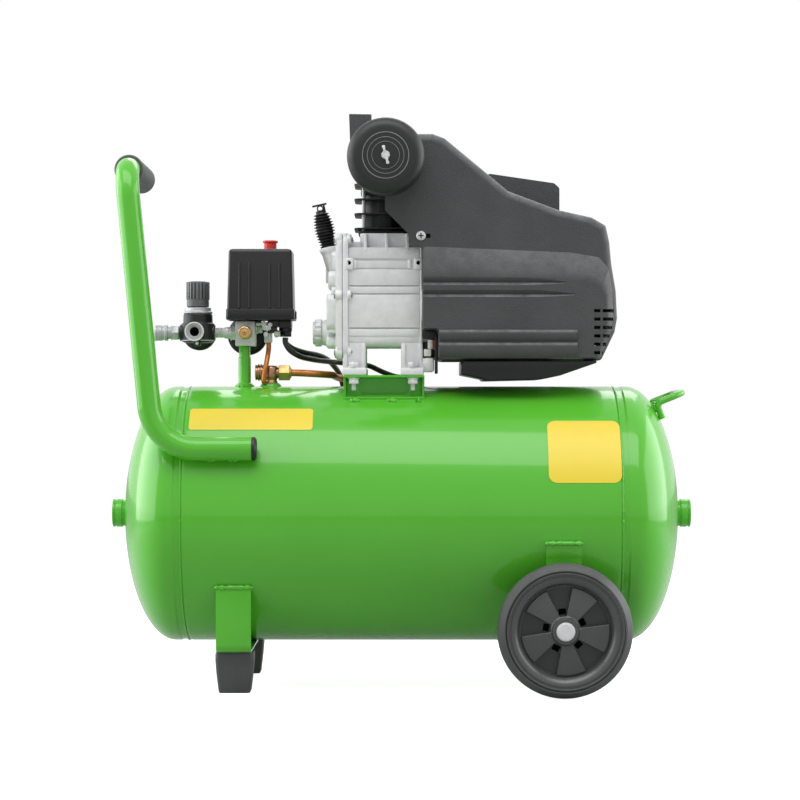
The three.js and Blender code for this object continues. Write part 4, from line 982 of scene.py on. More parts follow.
# ---------- Straps and boots ----------
@dataclass
class Undercarriage(Assembly):
    """Straps under the tank and rubber blocks.

    Args:
        tank: The tank that the straps are welded to.
        sheet: Thickness of the straps.
        leg: Distance of the wheel strap's legs from the middle plane.
    """

    tank: Tank
    sheet: float = 3.0
    leg: float = 150.5

    def strap(self, name: str, line: Sequence[Pair]) -> None:
        """Bent strap with its two weld beads.

        Args:
            name: Name of its CAD node.
            line: (y, z) points of its inner face on the near side, from the weld to the middle.
        """
        box = Box.of(name)
        inner = [*line, *[(-y, z) for y, z in reversed(line)]]
        outer: list[Pair] = []
        for i, (y, z) in enumerate(inner):
            before, after = inner[max(i - 1, 0)], inner[min(i + 1, len(inner) - 1)]
            along = Vector((after[0] - before[0], after[1] - before[1])).normalized()
            outer.append((y + along.y * self.sheet, z - along.x * self.sheet))
        middle, half = box.centre.x, box.size.x / 2
        shape = Shape().prism([*inner, *reversed(outer)], Axis.X, -half, half, (middle, 0, 0), 0.7)
        y, z = outer[0]
        for side in (1, -1):
            ends = [Vector((middle + end * (half + 2), side * (y + 0.6), z + 0.8)) for end in SIDES]
            shape.bead(ends, 2.7, 5)
        self.piece(f"{name}_bent", "green_paint", shape, name)

    def foot(self, reach: float, radius: float, floor: float) -> list[Pair]:
        """Bend at the foot of a strap, and its way in to the middle."""
        bend = arc((radius - reach, floor + radius), radius, 180, 270, 6)
        return [*bend, (-20, floor), (0, floor)]

    def front_line(self) -> list[Pair]:
        """Inner face of the front strap: off the tank, down past the boots and under the tank."""
        box = Box.of("front_strap")
        top, reach = box.high.z, -box.low.y - self.sheet
        skin = math.sqrt(self.tank.radius**2 - (top - self.tank.axis_z) ** 2)
        return [(-skin - 0.1, top), (-reach - 0.4, top - 17), (-reach - 0.4, top - 40),
                *self.foot(reach, 7, box.low.z + self.sheet)]

    def wheel_line(self) -> list[Pair]:
        """Inner face of the wheel strap: round the tank, down to the wheel bolts and across."""
        box = Box.of("wheel_strap")
        outer = self.tank.radius + 0.3
        lip = math.degrees(math.acos(self.leg / outer))
        weld = math.degrees(math.asin((self.tank.axis_z - box.high.z) / outer))
        return [*arc((0, self.tank.axis_z), outer, 180 + weld, 180 + lip, 5),
                *self.foot(self.leg, 6, box.low.z + self.sheet)]

    def boot(self, name: str) -> None:
        """Rubber block that bulges under the strap and tapers to the floor."""
        box = Box.of(name)
        u, v = box.size.x / 2, box.size.y / 2
        levels = ((0.0, 0.80), (0.04, 0.835), (0.5, 0.95), (0.8, 1.0), (0.95, 1.0), (1.0, 0.97))
        sections = [(rectangle((-u * scale, -v * scale), (u * scale, v * scale), 4.5, 4),
                     box.low.z + box.size.z * share) for share, scale in levels]
        self.piece(f"{name}_block", "rubber", Shape().loft(sections, Axis.Z), name,
                   place=move(box.centre.x, box.centre.y, 0), bevel=0.6)

    def build(self) -> None:
        """Makes the straps and the blocks."""
        self.strap("front_strap", self.front_line())
        self.strap("wheel_strap", self.wheel_line())
        self.boot("boot_near")
        self.boot("boot_far")


@dataclass
class Wheels(Assembly):
    """Both wheels with their bolts, modelled about Y; the far one is the near one turned round.

    Args:
        rim_radius: Outer radius of the rim.
        ring: Radius of the flat face inside its dished edge.
        hub: Radius of the hub.
        box: Box of the near tyre.
    """

    rim_radius: float = 66.7
    ring: float = 53.7
    hub: float = 16.2
    box: Box = field(default_factory=lambda: Box.of("wheel_tyre_near"))

    @property
    def face(self) -> float:
        """Outer face of the near tyre."""
        return self.box.low.y

    @property
    def pockets(self) -> list[float]:
        """Directions of the five pockets between the spokes, in degrees."""
        return [26 + 360 * i / 5 for i in range(5)]

    def pocket(self, middle: float, outer: Pair, inner: Pair) -> list[Pair]:
        """Outline of a pocket, from the radius and half angle of its outer and inner edge."""
        return [*arc((0, 0), outer[0], middle - outer[1], middle + outer[1], 12),
                *arc((0, 0), inner[0], middle + inner[1], middle - inner[1], 4)]

    def rim(self) -> Shape:
        """Moulded rim with flat spokes and sunk pockets."""
        face, back, edge = self.face, self.box.high.y, self.rim_radius
        hub, ring, mid = self.hub, self.ring, face + 10
        front = [(hub - 7.5, face + 5), (hub - 1, face + 5), (hub, face + 6.5), (hub, mid - 1.5),
                 (hub + 2, mid), (ring - 1.9, mid), (ring - 1.7, mid + 4.5),
                 (ring + 0.4, mid + 4.5)]
        dish = ((0.5, 1.2), (1.3, 2.5), (2.3, 3.8), (3.5, 5.1), (4.9, 6.3), (6.5, 7.3), (8.2, 8.0),
                (9.8, 8.4))
        rear = [(edge + 0.6, back - 1), (ring, back - 1), (ring - 2, mid + 13),
                (hub + 13, mid + 13), (hub + 12, mid + 24), (hub + 1, mid + 24), (hub, back),
                (hub - 7.5, back)]
        profile = [*rounded(front, 0.6, 2, closed=False), *[(ring + u, mid - v) for u, v in dish],
                   (edge - 2.4, mid - 8.5), (edge - 2.0, mid - 7.7), (edge + 0.6, mid - 7.7),
                   *rounded(rear, 1.2, 3, closed=False)]
        rim, pockets = Shape().revolve(profile, Axis.Y, steps=112), Shape()
        for middle in self.pockets:
            outline = self.pocket(middle, (ring - 1.0, 17.0), (hub + 1.8, 13.5))
            levels = ((-0.75, -1), (-0.75, -0.02), (0, 0.75), (0.3, 9.5))
            pockets.loft([(rounded(inset(outline, drawn_in), 1.0, 2), mid + depth)
                          for drawn_in, depth in levels], Axis.Y)
        return rim.cut(pockets).cut(self.holes())

    def floors(self) -> Shape:
        """Floors of the rim's sunk pockets, in a darker grey that paints the shade in them."""
        shape = Shape()
        for middle in self.pockets:
            outline = self.pocket(middle, (self.ring - 1.8, 16.3), (self.hub + 2.8, 12))
            shape.prism(outline, Axis.Y, self.face + 19.1, self.face + 19.9)
        return shape.cut(self.holes())

    def holes(self) -> Shape:
        """Blind holes beside the hub, one in each pocket."""
        shape, reach = Shape(), self.hub + 6.6
        for middle in self.pockets:
            angle = math.radians(middle)
            place = move(reach * math.cos(angle), 0, reach * math.sin(angle)) @ turn(-middle, "Y")
            outline = rectangle((-3.6, -4.4), (3.6, 4.4), 0.8, 2)
            shape.prism(outline, Axis.Y, self.face + 10, self.face + 31, place=place)
        return shape

    def hole_shade(self) -> Shape:
        """Near-black plugs at the bottom of the holes beside the hub: painted shade that makes the
        holes read deep.
        """
        front = Shape().block((-60, self.face, -60), (60, self.face + 24, 60))
        return self.holes().cut(front)

    def tyre(self) -> Shape:
        """Solid tyre with rounded shoulders and fine lines on its side."""
        face, back, radius = self.face, self.box.high.y, self.box.size.z / 2
        inner, side = self.rim_radius + 0.3, face + 0.5
        profile = [(inner, side), (inner + 1.5, side), (radius - 11, side), (radius, face + 14),
                   (radius, back - 14), (radius - 11, back), (inner, back)]
        tread = Shape().turned(profile, 9, 8, Axis.Y, steps=128)
        tread.cut(Shape().ring(radius - 4.6, radius - 5.6, Axis.Y, face - 1, face + 4.4, edge=0.1,
                               steps=96))
        for reach, half in ((self.rim_radius + 1.6, 0.8), (radius - 8.4, 0.6)):
            tread.ring(reach + half, reach - half, Axis.Y, face + 0.02, face + 2.5, steps=96)
        return tread

    def bolt(self) -> Shape:
        """Shoulder bolt with a flat domed head."""
        head, outer, seat, end = 11.1, self.face + 0.7, self.face + 5.4, self.face + 45
        profile = [(0, outer), (head - 2.2, outer), (head - 0.6, outer + 0.6), (head, outer + 2.0),
                   (head, seat), (7, seat), (7, end), (0, end)]
        return Shape().turned(profile, 0.5, 2, Axis.Y)

    def build(self) -> None:
        """Makes both wheels."""
        rim, floors, holes, tyre = self.rim(), self.floors(), self.hole_shade(), self.tyre()
        bolt = self.bolt()
        for side, spin in (("near", 0), ("far", 180)):
            body = f"wheel_{side}"
            place = move(self.box.centre.x, 0, self.box.centre.z) @ turn(spin, "Z")
            self.piece(f"rim_{side}", "wheel_plastic", rim, f"wheel_rim_{side}", body, place=place)
            self.piece(f"rim_pocket_shade_{side}", "painted_pocket_shade", floors, "", body, place=place)
            self.piece(f"rim_hole_shade_{side}", "painted_shade_black", holes, "", body, place=place)
            self.piece(f"tyre_{side}", "rubber", tyre, f"wheel_tyre_{side}", body, place=place)
            self.piece(f"wheel_bolt_{side}", "zinc_plated", bolt, f"axle_bolt_{side}", place=place)


# ---------- Handle and carry loop ----------
@dataclass
class Handle(Assembly):
    """Bent tube with a ribbed rubber grip and a plastic cap, and the loop on the other end.

    Args:
        tank: The tank that they are welded to.
        radius: Radius of the tube.
        bends: Bend radii at the foot and at the top.
        foot_x: Place of the upright tube's foot.
        grip: Outer radius of the grip.
        rod: Radius of the loop's bar.
    """

    tank: Tank
    radius: float = 14.0
    bends: Pair = (56.0, 38.0)
    foot_x: float = -294.7
    grip: float = 17.3
    rod: float = 4.0

    def build_tube(self) -> None:
        """Tube from its capped foot up and over to the grip, and the cap."""
        tube, cap, grip = Box.of("handle_tube"), Box.of("handle_end_cap"), Box.of("handle_grip")
        foot_y, foot_z = cap.centre.y, cap.centre.z
        top_x, top_z, start = grip.centre.x, grip.centre.z, tube.high.x
        corners = [(start, foot_y, foot_z), (self.foot_x, foot_y, foot_z),
                   (top_x, foot_y, top_z), (top_x, tube.high.y - 0.3, top_z)]
        path = bent_path(corners, self.bends, 18)
        shape = Shape().tube(path, self.radius, 48)
        for x in (start - 48.5, start - 22.5):
            spot = Vector((x, foot_y + 3.5, foot_z - self.radius + 0.5))
            reach = Vector((5.5, 0, 0))
            shape.bead([spot - reach, spot + reach], 2.3, 2)
        self.piece("handle_bend", "green_paint", shape, "handle_tube")
        bore, lip = self.radius - 2.4, self.radius + 0.2
        profile = [(0, start - 8), (bore, start - 8), (bore, start + 0.1), (lip, start + 0.1),
                   (lip, start + 3.6), (bore - 0.1, start + 5.9), (0, start + 5.9)]
        plug = Shape().turned(profile, 1.0, 3, Axis.X, (0, foot_y, foot_z), 40)
        self.piece("handle_cap", "black_plastic", plug, "handle_end_cap")

    def build_grip(self) -> None:
        """Sleeve with fine rings round it and a closed, rounded far end."""
        box, outer, bore = Box.of("handle_grip"), self.grip, self.radius + 0.3
        start, end = box.low.y, box.high.y
        profile: list[Pair] = [(bore, start + 0.2), (outer - 0.8, start),
                               (outer + 0.4, start + 1.0), (outer + 0.4, start + 4.6),
                               (outer - 0.9, start + 5.4)]
        pitch, depth = 2.6, 0.55
        level = start + 6.4
        while level < end - 9:
            profile += [(outer - cut, level + pitch * share) for cut, share
                        in ((0, 0), (0, 0.5), (depth, 0.62), (depth, 0.88))]
            level += pitch
        profile += [(outer, end - 7.5), (outer - 0.6, end - 4.2), (outer - 3.0, end - 1.2),
                    (outer - 7, end), (0, end), (0, end - 2.7), (bore, end - 2.7)]
        shape = Shape().revolve(profile, Axis.Y, (box.centre.x, 0, box.centre.z), 56)
        self.piece("grip_sleeve", "grip_rubber", shape, "handle_grip")

    def build_loop(self) -> None:
        """Carry loop of round bar welded to the right head."""
        tank = self.tank
        end, top, span = tank.rim + tank.crown, tank.top, Box.of("carry_loop").high.y - self.rod
        toe, heel, tip = (end - 21.7, top - 40), (end - 29, top - 21), (end + 3.5, top - 8)
        side = [(x, -span, z) for x, z in (toe, heel, tip)]
        other = [(x, span, z) for x, z in (tip, heel, toe)]
        shape = Shape().tube(bent_path([*side, *other], [7, 16, 16, 7], 8), self.rod, 20)
        for y in (-span, span):
            spot = Vector((heel[0] - 3.5, y, heel[1] - 1))
            shape.bead([spot + Vector((0, 0, 6)), spot, spot + Vector((3.5, 0, -10))], 2.2, 2)
        self.piece("carry_loop_bar", "green_paint", shape, "carry_loop")

    def build(self) -> None:
        """Makes the handle and the loop."""
        self.build_tube()
        self.build_grip()
        self.build_loop()


# ---------- Pump platform ----------
@dataclass
class Platform(Assembly):
    """Bent saddle of sheet metal on the tank, with the nuts of the pump's bolts under it.

    Args:
        tank: The tank that it is welded to.
        sheet: Thickness of the metal.
        skirt: Distance of each side wall from the middle plane.
        foot: Height of the side walls' foot.
    """

    tank: Tank
    sheet: float = 3.0
    skirt: float = 58.0
    foot: float = 355.5

    def side_wall(self, box: Box, side: int) -> Shape:
        """Wall under one edge of the top, with its sunk middle and its out-turned lip."""
        top, foot, low, high, wall = box.high.z - 0.6, self.foot, box.low.x, box.high.x, self.skirt
        shape = Shape().slab(side, (low, high), (wall, wall - 6), (foot - 2, top), 1.2)
        sunk = rectangle((low + 19, foot + 3), (high - 19, top - 6), 5, 4)
        shape.cut(Shape().prism(sunk, Axis.Y, *mirrored(side, wall + 2, wall - 4.6)))
        shape.slab(side, (low, high), (wall - 2, wall + 12), (foot - 2.6, foot + 0.4), 0.8)
        for x in (low, high - self.sheet):
            shape.slab(side, (x, x + self.sheet), (wall - 2, wall + 7), (foot - 1, top), 0.7)
        return shape

    def build(self) -> None:
        """Top plate, side walls, weld drops, nuts and stud ends."""
        box = Box.of("pump_platform")
        half, under = box.high.y, box.high.z - self.sheet
        shape = Shape().block((box.low.x, -half, under), (box.high.x, half, box.high.z), 0.9)
        for side in SIDES:
            shape.add(self.side_wall(box, side))
            y = side * (self.skirt + 15.5)
            z = self.tank.axis_z + math.sqrt(self.tank.radius**2 - y * y) + 0.6
            for x, reach in ((-57, 6.0), (-12, 6.5), (20, 3.5)):
                shape.bead([Vector((x - reach, y, z)), Vector((x + reach, y, z))], 4.0, 5)
        self.piece("platform_saddle", "green_paint", shape, "pump_platform")
        nut = stud_with_nut(11.5, 6.2, 3.0, 15.5, 7.4)
        below = [move(x, side * BOLT_Y, under - 0.1) @ turn(180, "X") for x in BOLT_X
                 for side in SIDES]
        self.piece("platform_nuts", "zinc_plated", Shape().add(nut, *below))


# ---------- Pump ----------
@dataclass
class Pump(Assembly):
    """Crankcase, its cover with the oil glass and breather, and their bolts.

    Places are measured from the point where the crank's axis meets the cylinder's.

    Args:
        half: Half length of the crankcase along X.
        face: Distance of its side faces from the middle plane.
        top: Height of its flat top.
        pad_top: Height of the cylinder's seat.
        floor: Depth of its rolled underside.
        foot_top: Height of the feet's upper side.
        tilt: Tilt of the oil filler neck in degrees.
        neck: (x, z) place of its foot.
        neck_length: Length of it.
        glass_z: Height of the oil glass.
        bore: Radius of the hole for the cylinder.
        eyes: Places along X of the threaded eyes in each side.
        eye_z: Height of those eyes.
    """

    half: float = 45.5
    face: float = 60.0
    top: float = 72.0
    pad_top: float = 89.0
    floor: float = -51.0
    foot_top: float = -76.6
    tilt: float = 12.2
    neck: Pair = (-59.8, 24.0)
    neck_length: float = 52.0
    glass_z: float = -32.0
    bore: float = 27.9
    eyes: Pair = (-43.9, 41.2)
    eye_z: float = 52.0

    @property
    def origin(self) -> Triple:
        """Where the axes meet."""
        return Box.of("cylinder").centre.x, 0.0, Box.of("motor_rotor").centre.z

    @property
    def place(self) -> Matrix:
        """Place of the pump's shapes."""
        return move(*self.origin)

    @property
    def on_neck(self) -> Matrix:
        """Place of a shape that stands on the foot of the tilted neck."""
        return move(self.neck[0], 0, self.neck[1]) @ turn(-self.tilt, "Y")

    def side_face(self, side: int) -> Shape:
        """Raised panels, bosses and ribs on one long face."""
        face, shape = self.face, Shape()
        for low, high in ((-27.3, 13.2), (24.4, 43.8), (57.4, 70.8), (-37.6, -29.2), (14.4, 22.9)):
            shape.prism(rectangle((-44.4, low), (42.6, high), 1.2, 2), Axis.Y,
                        *mirrored(side, face - 1, face + 1), edge=0.45)
        shape.prism(rectangle((-36.0, 46.0), (29.0, 54.6), 1.2, 2), Axis.Y,
                    *mirrored(side, face - 1, face + 0.3), edge=0.4)
        for low in (-38.6, 28.4):
            shape.slab(side, (low, low + 4.6), (face - 1, face + 2.2), (44.6, 55.8), 1.2, 3)
        for x, reach in zip(self.eyes, (4.9, 2.6)):
            eye = Shape().slab(side, (x - 5.6, x + 5.4), (face - 2, face + reach), (43.2, 58.2),
                               2.0, 3)
            shape.add(eye.drill(2.6, Axis.Y, -80, 80, (x, 0, self.eye_z), 24))
        seat = self.pad_top - 0.6
        wedge = [(side * y, z) for y, z in ((40, seat), (53.5, seat), (60.6, 72), (61.4, 67.5),
                                            (59, 65.5), (40, 64))]
        for x in (-23.8, 2.0, 27.7):
            shape.prism(wedge, Axis.X, -1.9, 1.9, (x, 0, 0), edge=0.7)
        return shape

    def leg(self, low: float, high: float, side: int, left: float, right: float) -> Shape:
        """One leg with its foot.

        Args:
            low: Left edge.
            high: Right edge.
            side: Side that it stands on.
            left: Left edge at the top.
            right: Right edge at the top.
        """
        outer, under = self.face - 1.4, self.foot_top
        outline = [(low, under - 1), (high, under - 1), (high, -52), (right, -30), (right, -22),
                   (left, -22), (left, -30), (low, -52)]
        shape = Shape().prism(rounded(outline, 3, 2), Axis.Y, *mirrored(side, outer, outer - 22),
                              edge=1.1)
        near, far = mirrored(side, outer, outer + 1.1)
        for x in (low + 1.0, high - 5.4):
            shape.block((x, near - 1, under), (x + 4.4, far + 0.2, -47), 0.8)
        return shape.slab(side, (low - 0.6, high + 0.8), (72.4, 36), (-85.3, under), 1.0)

    def build_case(self) -> None:
        """Crankcase casting with its flange, pad, ribs, legs and motor rim."""
        face, top, floor, half = self.face, self.top, self.floor, self.half
        long, short = (-44, 43), (-37, 30)  # ends of the sunk lines between the raised panels
        outline = rounded([(-face, top), (-face, floor), (face, floor), (face, top)], 10, 6)
        shape = Shape().prism(outline, Axis.X, -half, half, edge=0.8)
        shape.drill(44, Axis.X, -60, 33.5, steps=64)
        shape.drill(self.bore, Axis.Z, 34, 80, steps=64)
        shape.drill(15, Axis.X, 30, 50)
        for side in SIDES:
            for x, z in ((long, (22.9, 24.4)), (long, (13.2, 14.4)), (long, (-29.2, -27.3)),
                         (short, (54.7, 57.2)), (short, (43.9, 45.8))):
                shape.cut(Shape().slab(side, x, (face - 1.8, 70), z, 0.1))
            for x in self.eyes:
                shape.drill(2.6, Axis.Y, *mirrored(side, 49, 70), (x, 0, self.eye_z), 24)
        pad = Shape().prism(rectangle((-30.4, -50), (29.4, 50), 5, 4), Axis.Z, top - 2,
                            self.pad_top, edge=1.2, segments=3)
        shape.add(pad.drill(self.bore, Axis.Z, 60, 100, steps=64))
        shape.block((-45, -52, top - 3), (-29, 52, top + 6.6), 1.8, 3)
        rim = rectangle((-face - 1.4, floor + 3), (face + 1.4, top + 3.6), 6, 4)
        shape.add(Shape().prism(rim, Axis.X, 42.9, half + 0.2, edge=1.1).drill(15, Axis.X, 30, 50))
        shape.prism(self.flange, Axis.X, -51.8, -44.8, edge=1.0)
        for side in SIDES:
            shape.add(self.side_face(side))
            shape.add(self.leg(-51.6, -23.2, side, -45.4, -23.2))
            shape.add(self.leg(19.9, 46.6, side, 19.9, 45.6))
        shape.ring(64, 56, Axis.X, half - 1, half + 19, edge=0.8, steps=72)
        shape.block((47.5, -62, -82), (60.5, -44, -64), 3)
        self.piece("crankcase_casting", "cast_aluminium", shape, "crankcase", place=self.place)

    @property
    def flange(self) -> list[Pair]:
        """Outline that the case and its cover share, as (y, z) points."""
        return rectangle((-64, -65), (64, 89), 14, 6)

    @property
    def flange_bolts(self) -> list[Pair]:
        """(y, z) places of the bolts round the cover's flange."""
        return [(-56.5, 81.0), (-56.5, -57.0), (56.5, 81.0), (56.5, -57.0), (-60.5, 12.6),
                (60.5, 12.6), (-20, 83.0), (20, 83.0), (-22, -59), (22, -59)]

    def build_cover(self) -> None:
        """End cover with its stepped dome, glass seat and oil neck."""
        shape = Shape().prism(self.flange, Axis.X, -58.4, -52.2, edge=1.1)
        shape.prism(rectangle((-58, -59), (58, 83), 12, 6), Axis.X, -60.4, -57, edge=1.0)
        for y, low, high, reach, corner in ((41, -30, 15, -72, 9), (35, 21.6, 43.6, -70.2, 8),
                                            (13, 42, 70, -66.8, 7), (37, -33.6, -28, -70, 2),
                                            (30, -51.5, -36.5, -72.6, 6), (37, 12, 24, -66.6, 4)):
            shape.prism(rectangle((-y, low), (y, high), corner, 5), Axis.X, reach, -57, edge=2.0,
                        segments=3)
        seat = [(0, -78.6), (15.2, -78.6), (16.4, -74), (18.8, -70.8), (20.5, -62), (0, -62)]
        shape.turned(seat, 1.2, 3, Axis.X, (0, 0, self.glass_z), 56)
        end = self.neck_length
        neck = [(0, 2), (6.4, 2), (9.8, end - 9), (11.6, end - 4.6), (11.9, end - 0.4), (9.6, end),
                (0, end)]
        shape.add(Shape().turned(neck, 0.9, 3), self.on_neck)
        shape.block((-74, -2.2, 30), (-60, 2.2, 66), 1.0)
        for y, z in self.flange_bolts:
            shape.ring(6.6, 3.2, Axis.X, -60.6, -52.4, (0, y, z), 0.8, 28)
        self.piece("crankcase_cover_casting", "cast_aluminium", shape, "crankcase_cover",
                   place=self.place)

    def build_bolts(self) -> None:
        """Cover screws with their bosses on the case, and the bolts in the feet."""
        bosses, screws, eye_shade = Shape(), Shape(), Shape()
        head = [(0, -62.4), (4.6, -62.4), (4.6, -57.6), (0, -57.6)]
        for y, z in self.flange_bolts:
            centre = (0, y, z)
            bosses.rod(6.4, Axis.X, -46, -41.4, centre, edge=1.0, steps=28)
            screw = Shape().turned(head, 0.6, 2, Axis.X, centre, 28)
            screws.add(screw.cut(Shape().hexagon(4.2, Axis.X, -66, -60, centre)))
            screws.rod(2.9, Axis.X, -42, -39.6, centre, edge=0.5, steps=20)
        # Near-black rods inside the threaded eyes: painted shade that makes the holes read deep.
        for x in self.eyes:
            for side in SIDES:
                eye_shade.rod(2.5, Axis.Y, *mirrored(side, 50, self.face - 0.5), (x, 0, self.eye_z),
                         0.2, 20)
        self.piece("case_eye_shade", "painted_shade_black", eye_shade, place=self.place)
        self.piece("case_bosses", "cast_aluminium", bosses, place=self.place)
        self.piece("cover_screws", "steel", screws, place=self.place)
        foot = self.origin[2] + self.foot_top
        spots = [move(x, side * BOLT_Y, foot) for x in BOLT_X for side in SIDES]
        self.piece("foot_bolts", "zinc_plated", Shape().add(bolt_head(11.0, 5.6, 7.6), *spots))

    def build_glass(self) -> None:
        """Lobed bezel with its oil window."""
        start, end, lobes, steps = -89.6, -78.8, 9, 144
        outline: list[Pair] = []
        for angle in (math.tau * i / steps for i in range(steps)):
            radius = 17.2 - 1.5 * max(0.0, math.cos(lobes * angle)) ** 3
            outline.append((radius * math.cos(angle), radius * math.sin(angle)))
        centre = (0, 0, self.glass_z)
        bezel = Shape().prism(outline, Axis.X, start + 2, end, centre, edge=1.4)
        bezel.ring(14.6, 10.2, Axis.X, start - 0.4, start + 6, centre, 0.9, 64)
        self.piece("sight_glass_bezel", "zinc_plated", bezel, "oil_sight_glass", slot="sight_glass",
                   place=self.place)
        lens = Shape().rod(10.4, Axis.X, start + 1.6, end, centre, edge=0.8, steps=56)
        self.piece("sight_glass_lens", "sight_glass", lens, place=self.place)

    def build_breather(self) -> None:
        """Ribbed black breather with a ring and a crossbar on top."""
        seat, pitch = self.neck_length + 0.3, 3.7
        ribs = (10.6, 11.4, 12.1, 12.7, 13.0, 13.0, 12.8, 12.4, 11.8, 11.0, 10.0)
        profile: list[Pair] = [(0, seat - 20), (6.8, seat - 20), (6.8, seat), (9.6, seat),
                               (9.9, seat + 1.6), (8.2, seat + 2.2)]
        for i, reach in enumerate(ribs):
            foot, core, shoulder = seat + 3.0 + pitch * i, reach - 2.9, reach - 0.4
            profile += [(core, foot), (shoulder, foot + 1.1), (reach, foot + 1.4),
                        (shoulder, foot + 1.7), (core, foot + 2.6)]
        collar = seat + 3.0 + pitch * len(ribs)
        profile += [(6.4, collar), (6.4, collar + 2.2), (4.6, collar + 3.2), (0, collar + 3.2)]
        shape = Shape().revolve(profile)
        ring_z = collar + 5.4
        loop = arc((0, 0), 4.3, 0, 360, 28)[:-1]
        eye = Shape().prism(loop, Axis.Y, -2.4, 2.4, (0, 0, ring_z), edge=0.5)
        shape.add(eye.drill(2.7, Axis.Y, -5, 5, (0, 0, ring_z), 24))
        shape.block((-9.2, -2.6, ring_z + 3.4), (9.2, 2.6, ring_z + 5.6), 0.6)
        shape.block((4.0, -2.0, collar + 1), (6.4, 2.0, ring_z + 4.6), 0.6)
        self.piece("breather_plug", "black_plastic", shape, "oil_breather", "oil_breather",
                   place=self.place @ self.on_neck)

    def build(self) -> None:
        """Makes the pump's lower half."""
        self.build_case()
        self.build_cover()
        self.build_bolts()
        self.build_glass()
        self.build_breather()


@dataclass
class Cylinder(Assembly):
    """Finned cylinder and head with their long studs.

    Args:
        pump: The pump that it stands on.
        span: Half width of the fins.
        barrel: Radius of the barrel.
        bore: Radius of the bore.
        stud: Distance of the studs from both middle planes.
    """

    pump: Pump
    span: float = 38.0
    barrel: float = 27.4
    bore: float = 23.7
    stud: float = 26.4

    def plate(self, half: float, corner: float, low: float, high: float, edge: float) -> Shape:
        """Square plate with rounded corners round the bore."""
        outline = rectangle((-half, -half), (half, half), corner, 5)
        shape = Shape().prism(outline, Axis.Z, low, high, edge=edge)
        return shape.drill(self.bore + 0.5, Axis.Z, low - 2, high + 2)

    def build(self) -> None:
        """Makes the cylinder, the head, the studs and the head's screws."""
        place, lift, head_box = self.pump.place, self.pump.origin[2], Box.of("cylinder_head")
        foot = Box.of("cylinder").low.z - lift + 12
        joint, top = head_box.low.z - lift, head_box.high.z - lift
        shape = Shape().ring(self.barrel, self.bore, Axis.Z, foot - 11, joint - 0.6, edge=0.6,
                             steps=64)
        shape.add(self.plate(33, 9, foot, foot + 4.2, 0.8))
        shape.add(self.plate(30, 8, joint - 4.2, joint - 0.4, 0.5))
        for level in (foot + 5.6, foot + 23.8, foot + 41.8):
            shape.add(self.plate(self.span, 10, level, level + 2, 0.7))
        for x, y in ((1, 0), (-1, 0), (0, 1), (0, -1)):
            u, v = 2.2 + abs(y) * 6.8, 2.2 + abs(x) * 6.8
            shape.block((x * 26.8 - u, y * 26.8 - v, foot + 1),
                        (x * 26.8 + u, y * 26.8 + v, joint - 1), 1.5)
        self.piece("cylinder_barrel", "dark_castings", shape, "cylinder", place=place)
        block = rectangle((-30, -30), (30, 30), 7, 5)
        head = Shape().prism(block, Axis.Z, joint, top - 1, edge=1.2)
        fin = rectangle((-self.span, -self.span), (self.span, self.span), 10, 5)
        for level in (6, 19.6, 33.5, 47.5):
            head.prism(fin, Axis.Z, joint + level, joint + level + 2, edge=0.7)
        for x in (-22, -11, 0, 11, 22):
            head.block((x - 1.2, -29, top - 4), (x + 1.2, 29, top), 0.5)
        for side in SIDES:
            head.rod(12, Axis.Y, *mirrored(side, self.span, 26), (0, 0, joint + 33), 0.8, 40)
        self.piece("cylinder_head_casting", "dark_castings", head, "cylinder_head", place=place)
        studs = Shape()
        for x in (-self.stud, self.stud):
            for y in (-self.stud, self.stud):
                studs.rod(2.3, Axis.Z, foot - 0.5, top + 3.4, (x, y, 0), edge=0.5, steps=20)
                studs.hexagon(9.4, Axis.Z, top - 0.6, top + 5.6, (x, y, 0))
        self.piece("head_studs", "zinc_plated", studs, place=place)


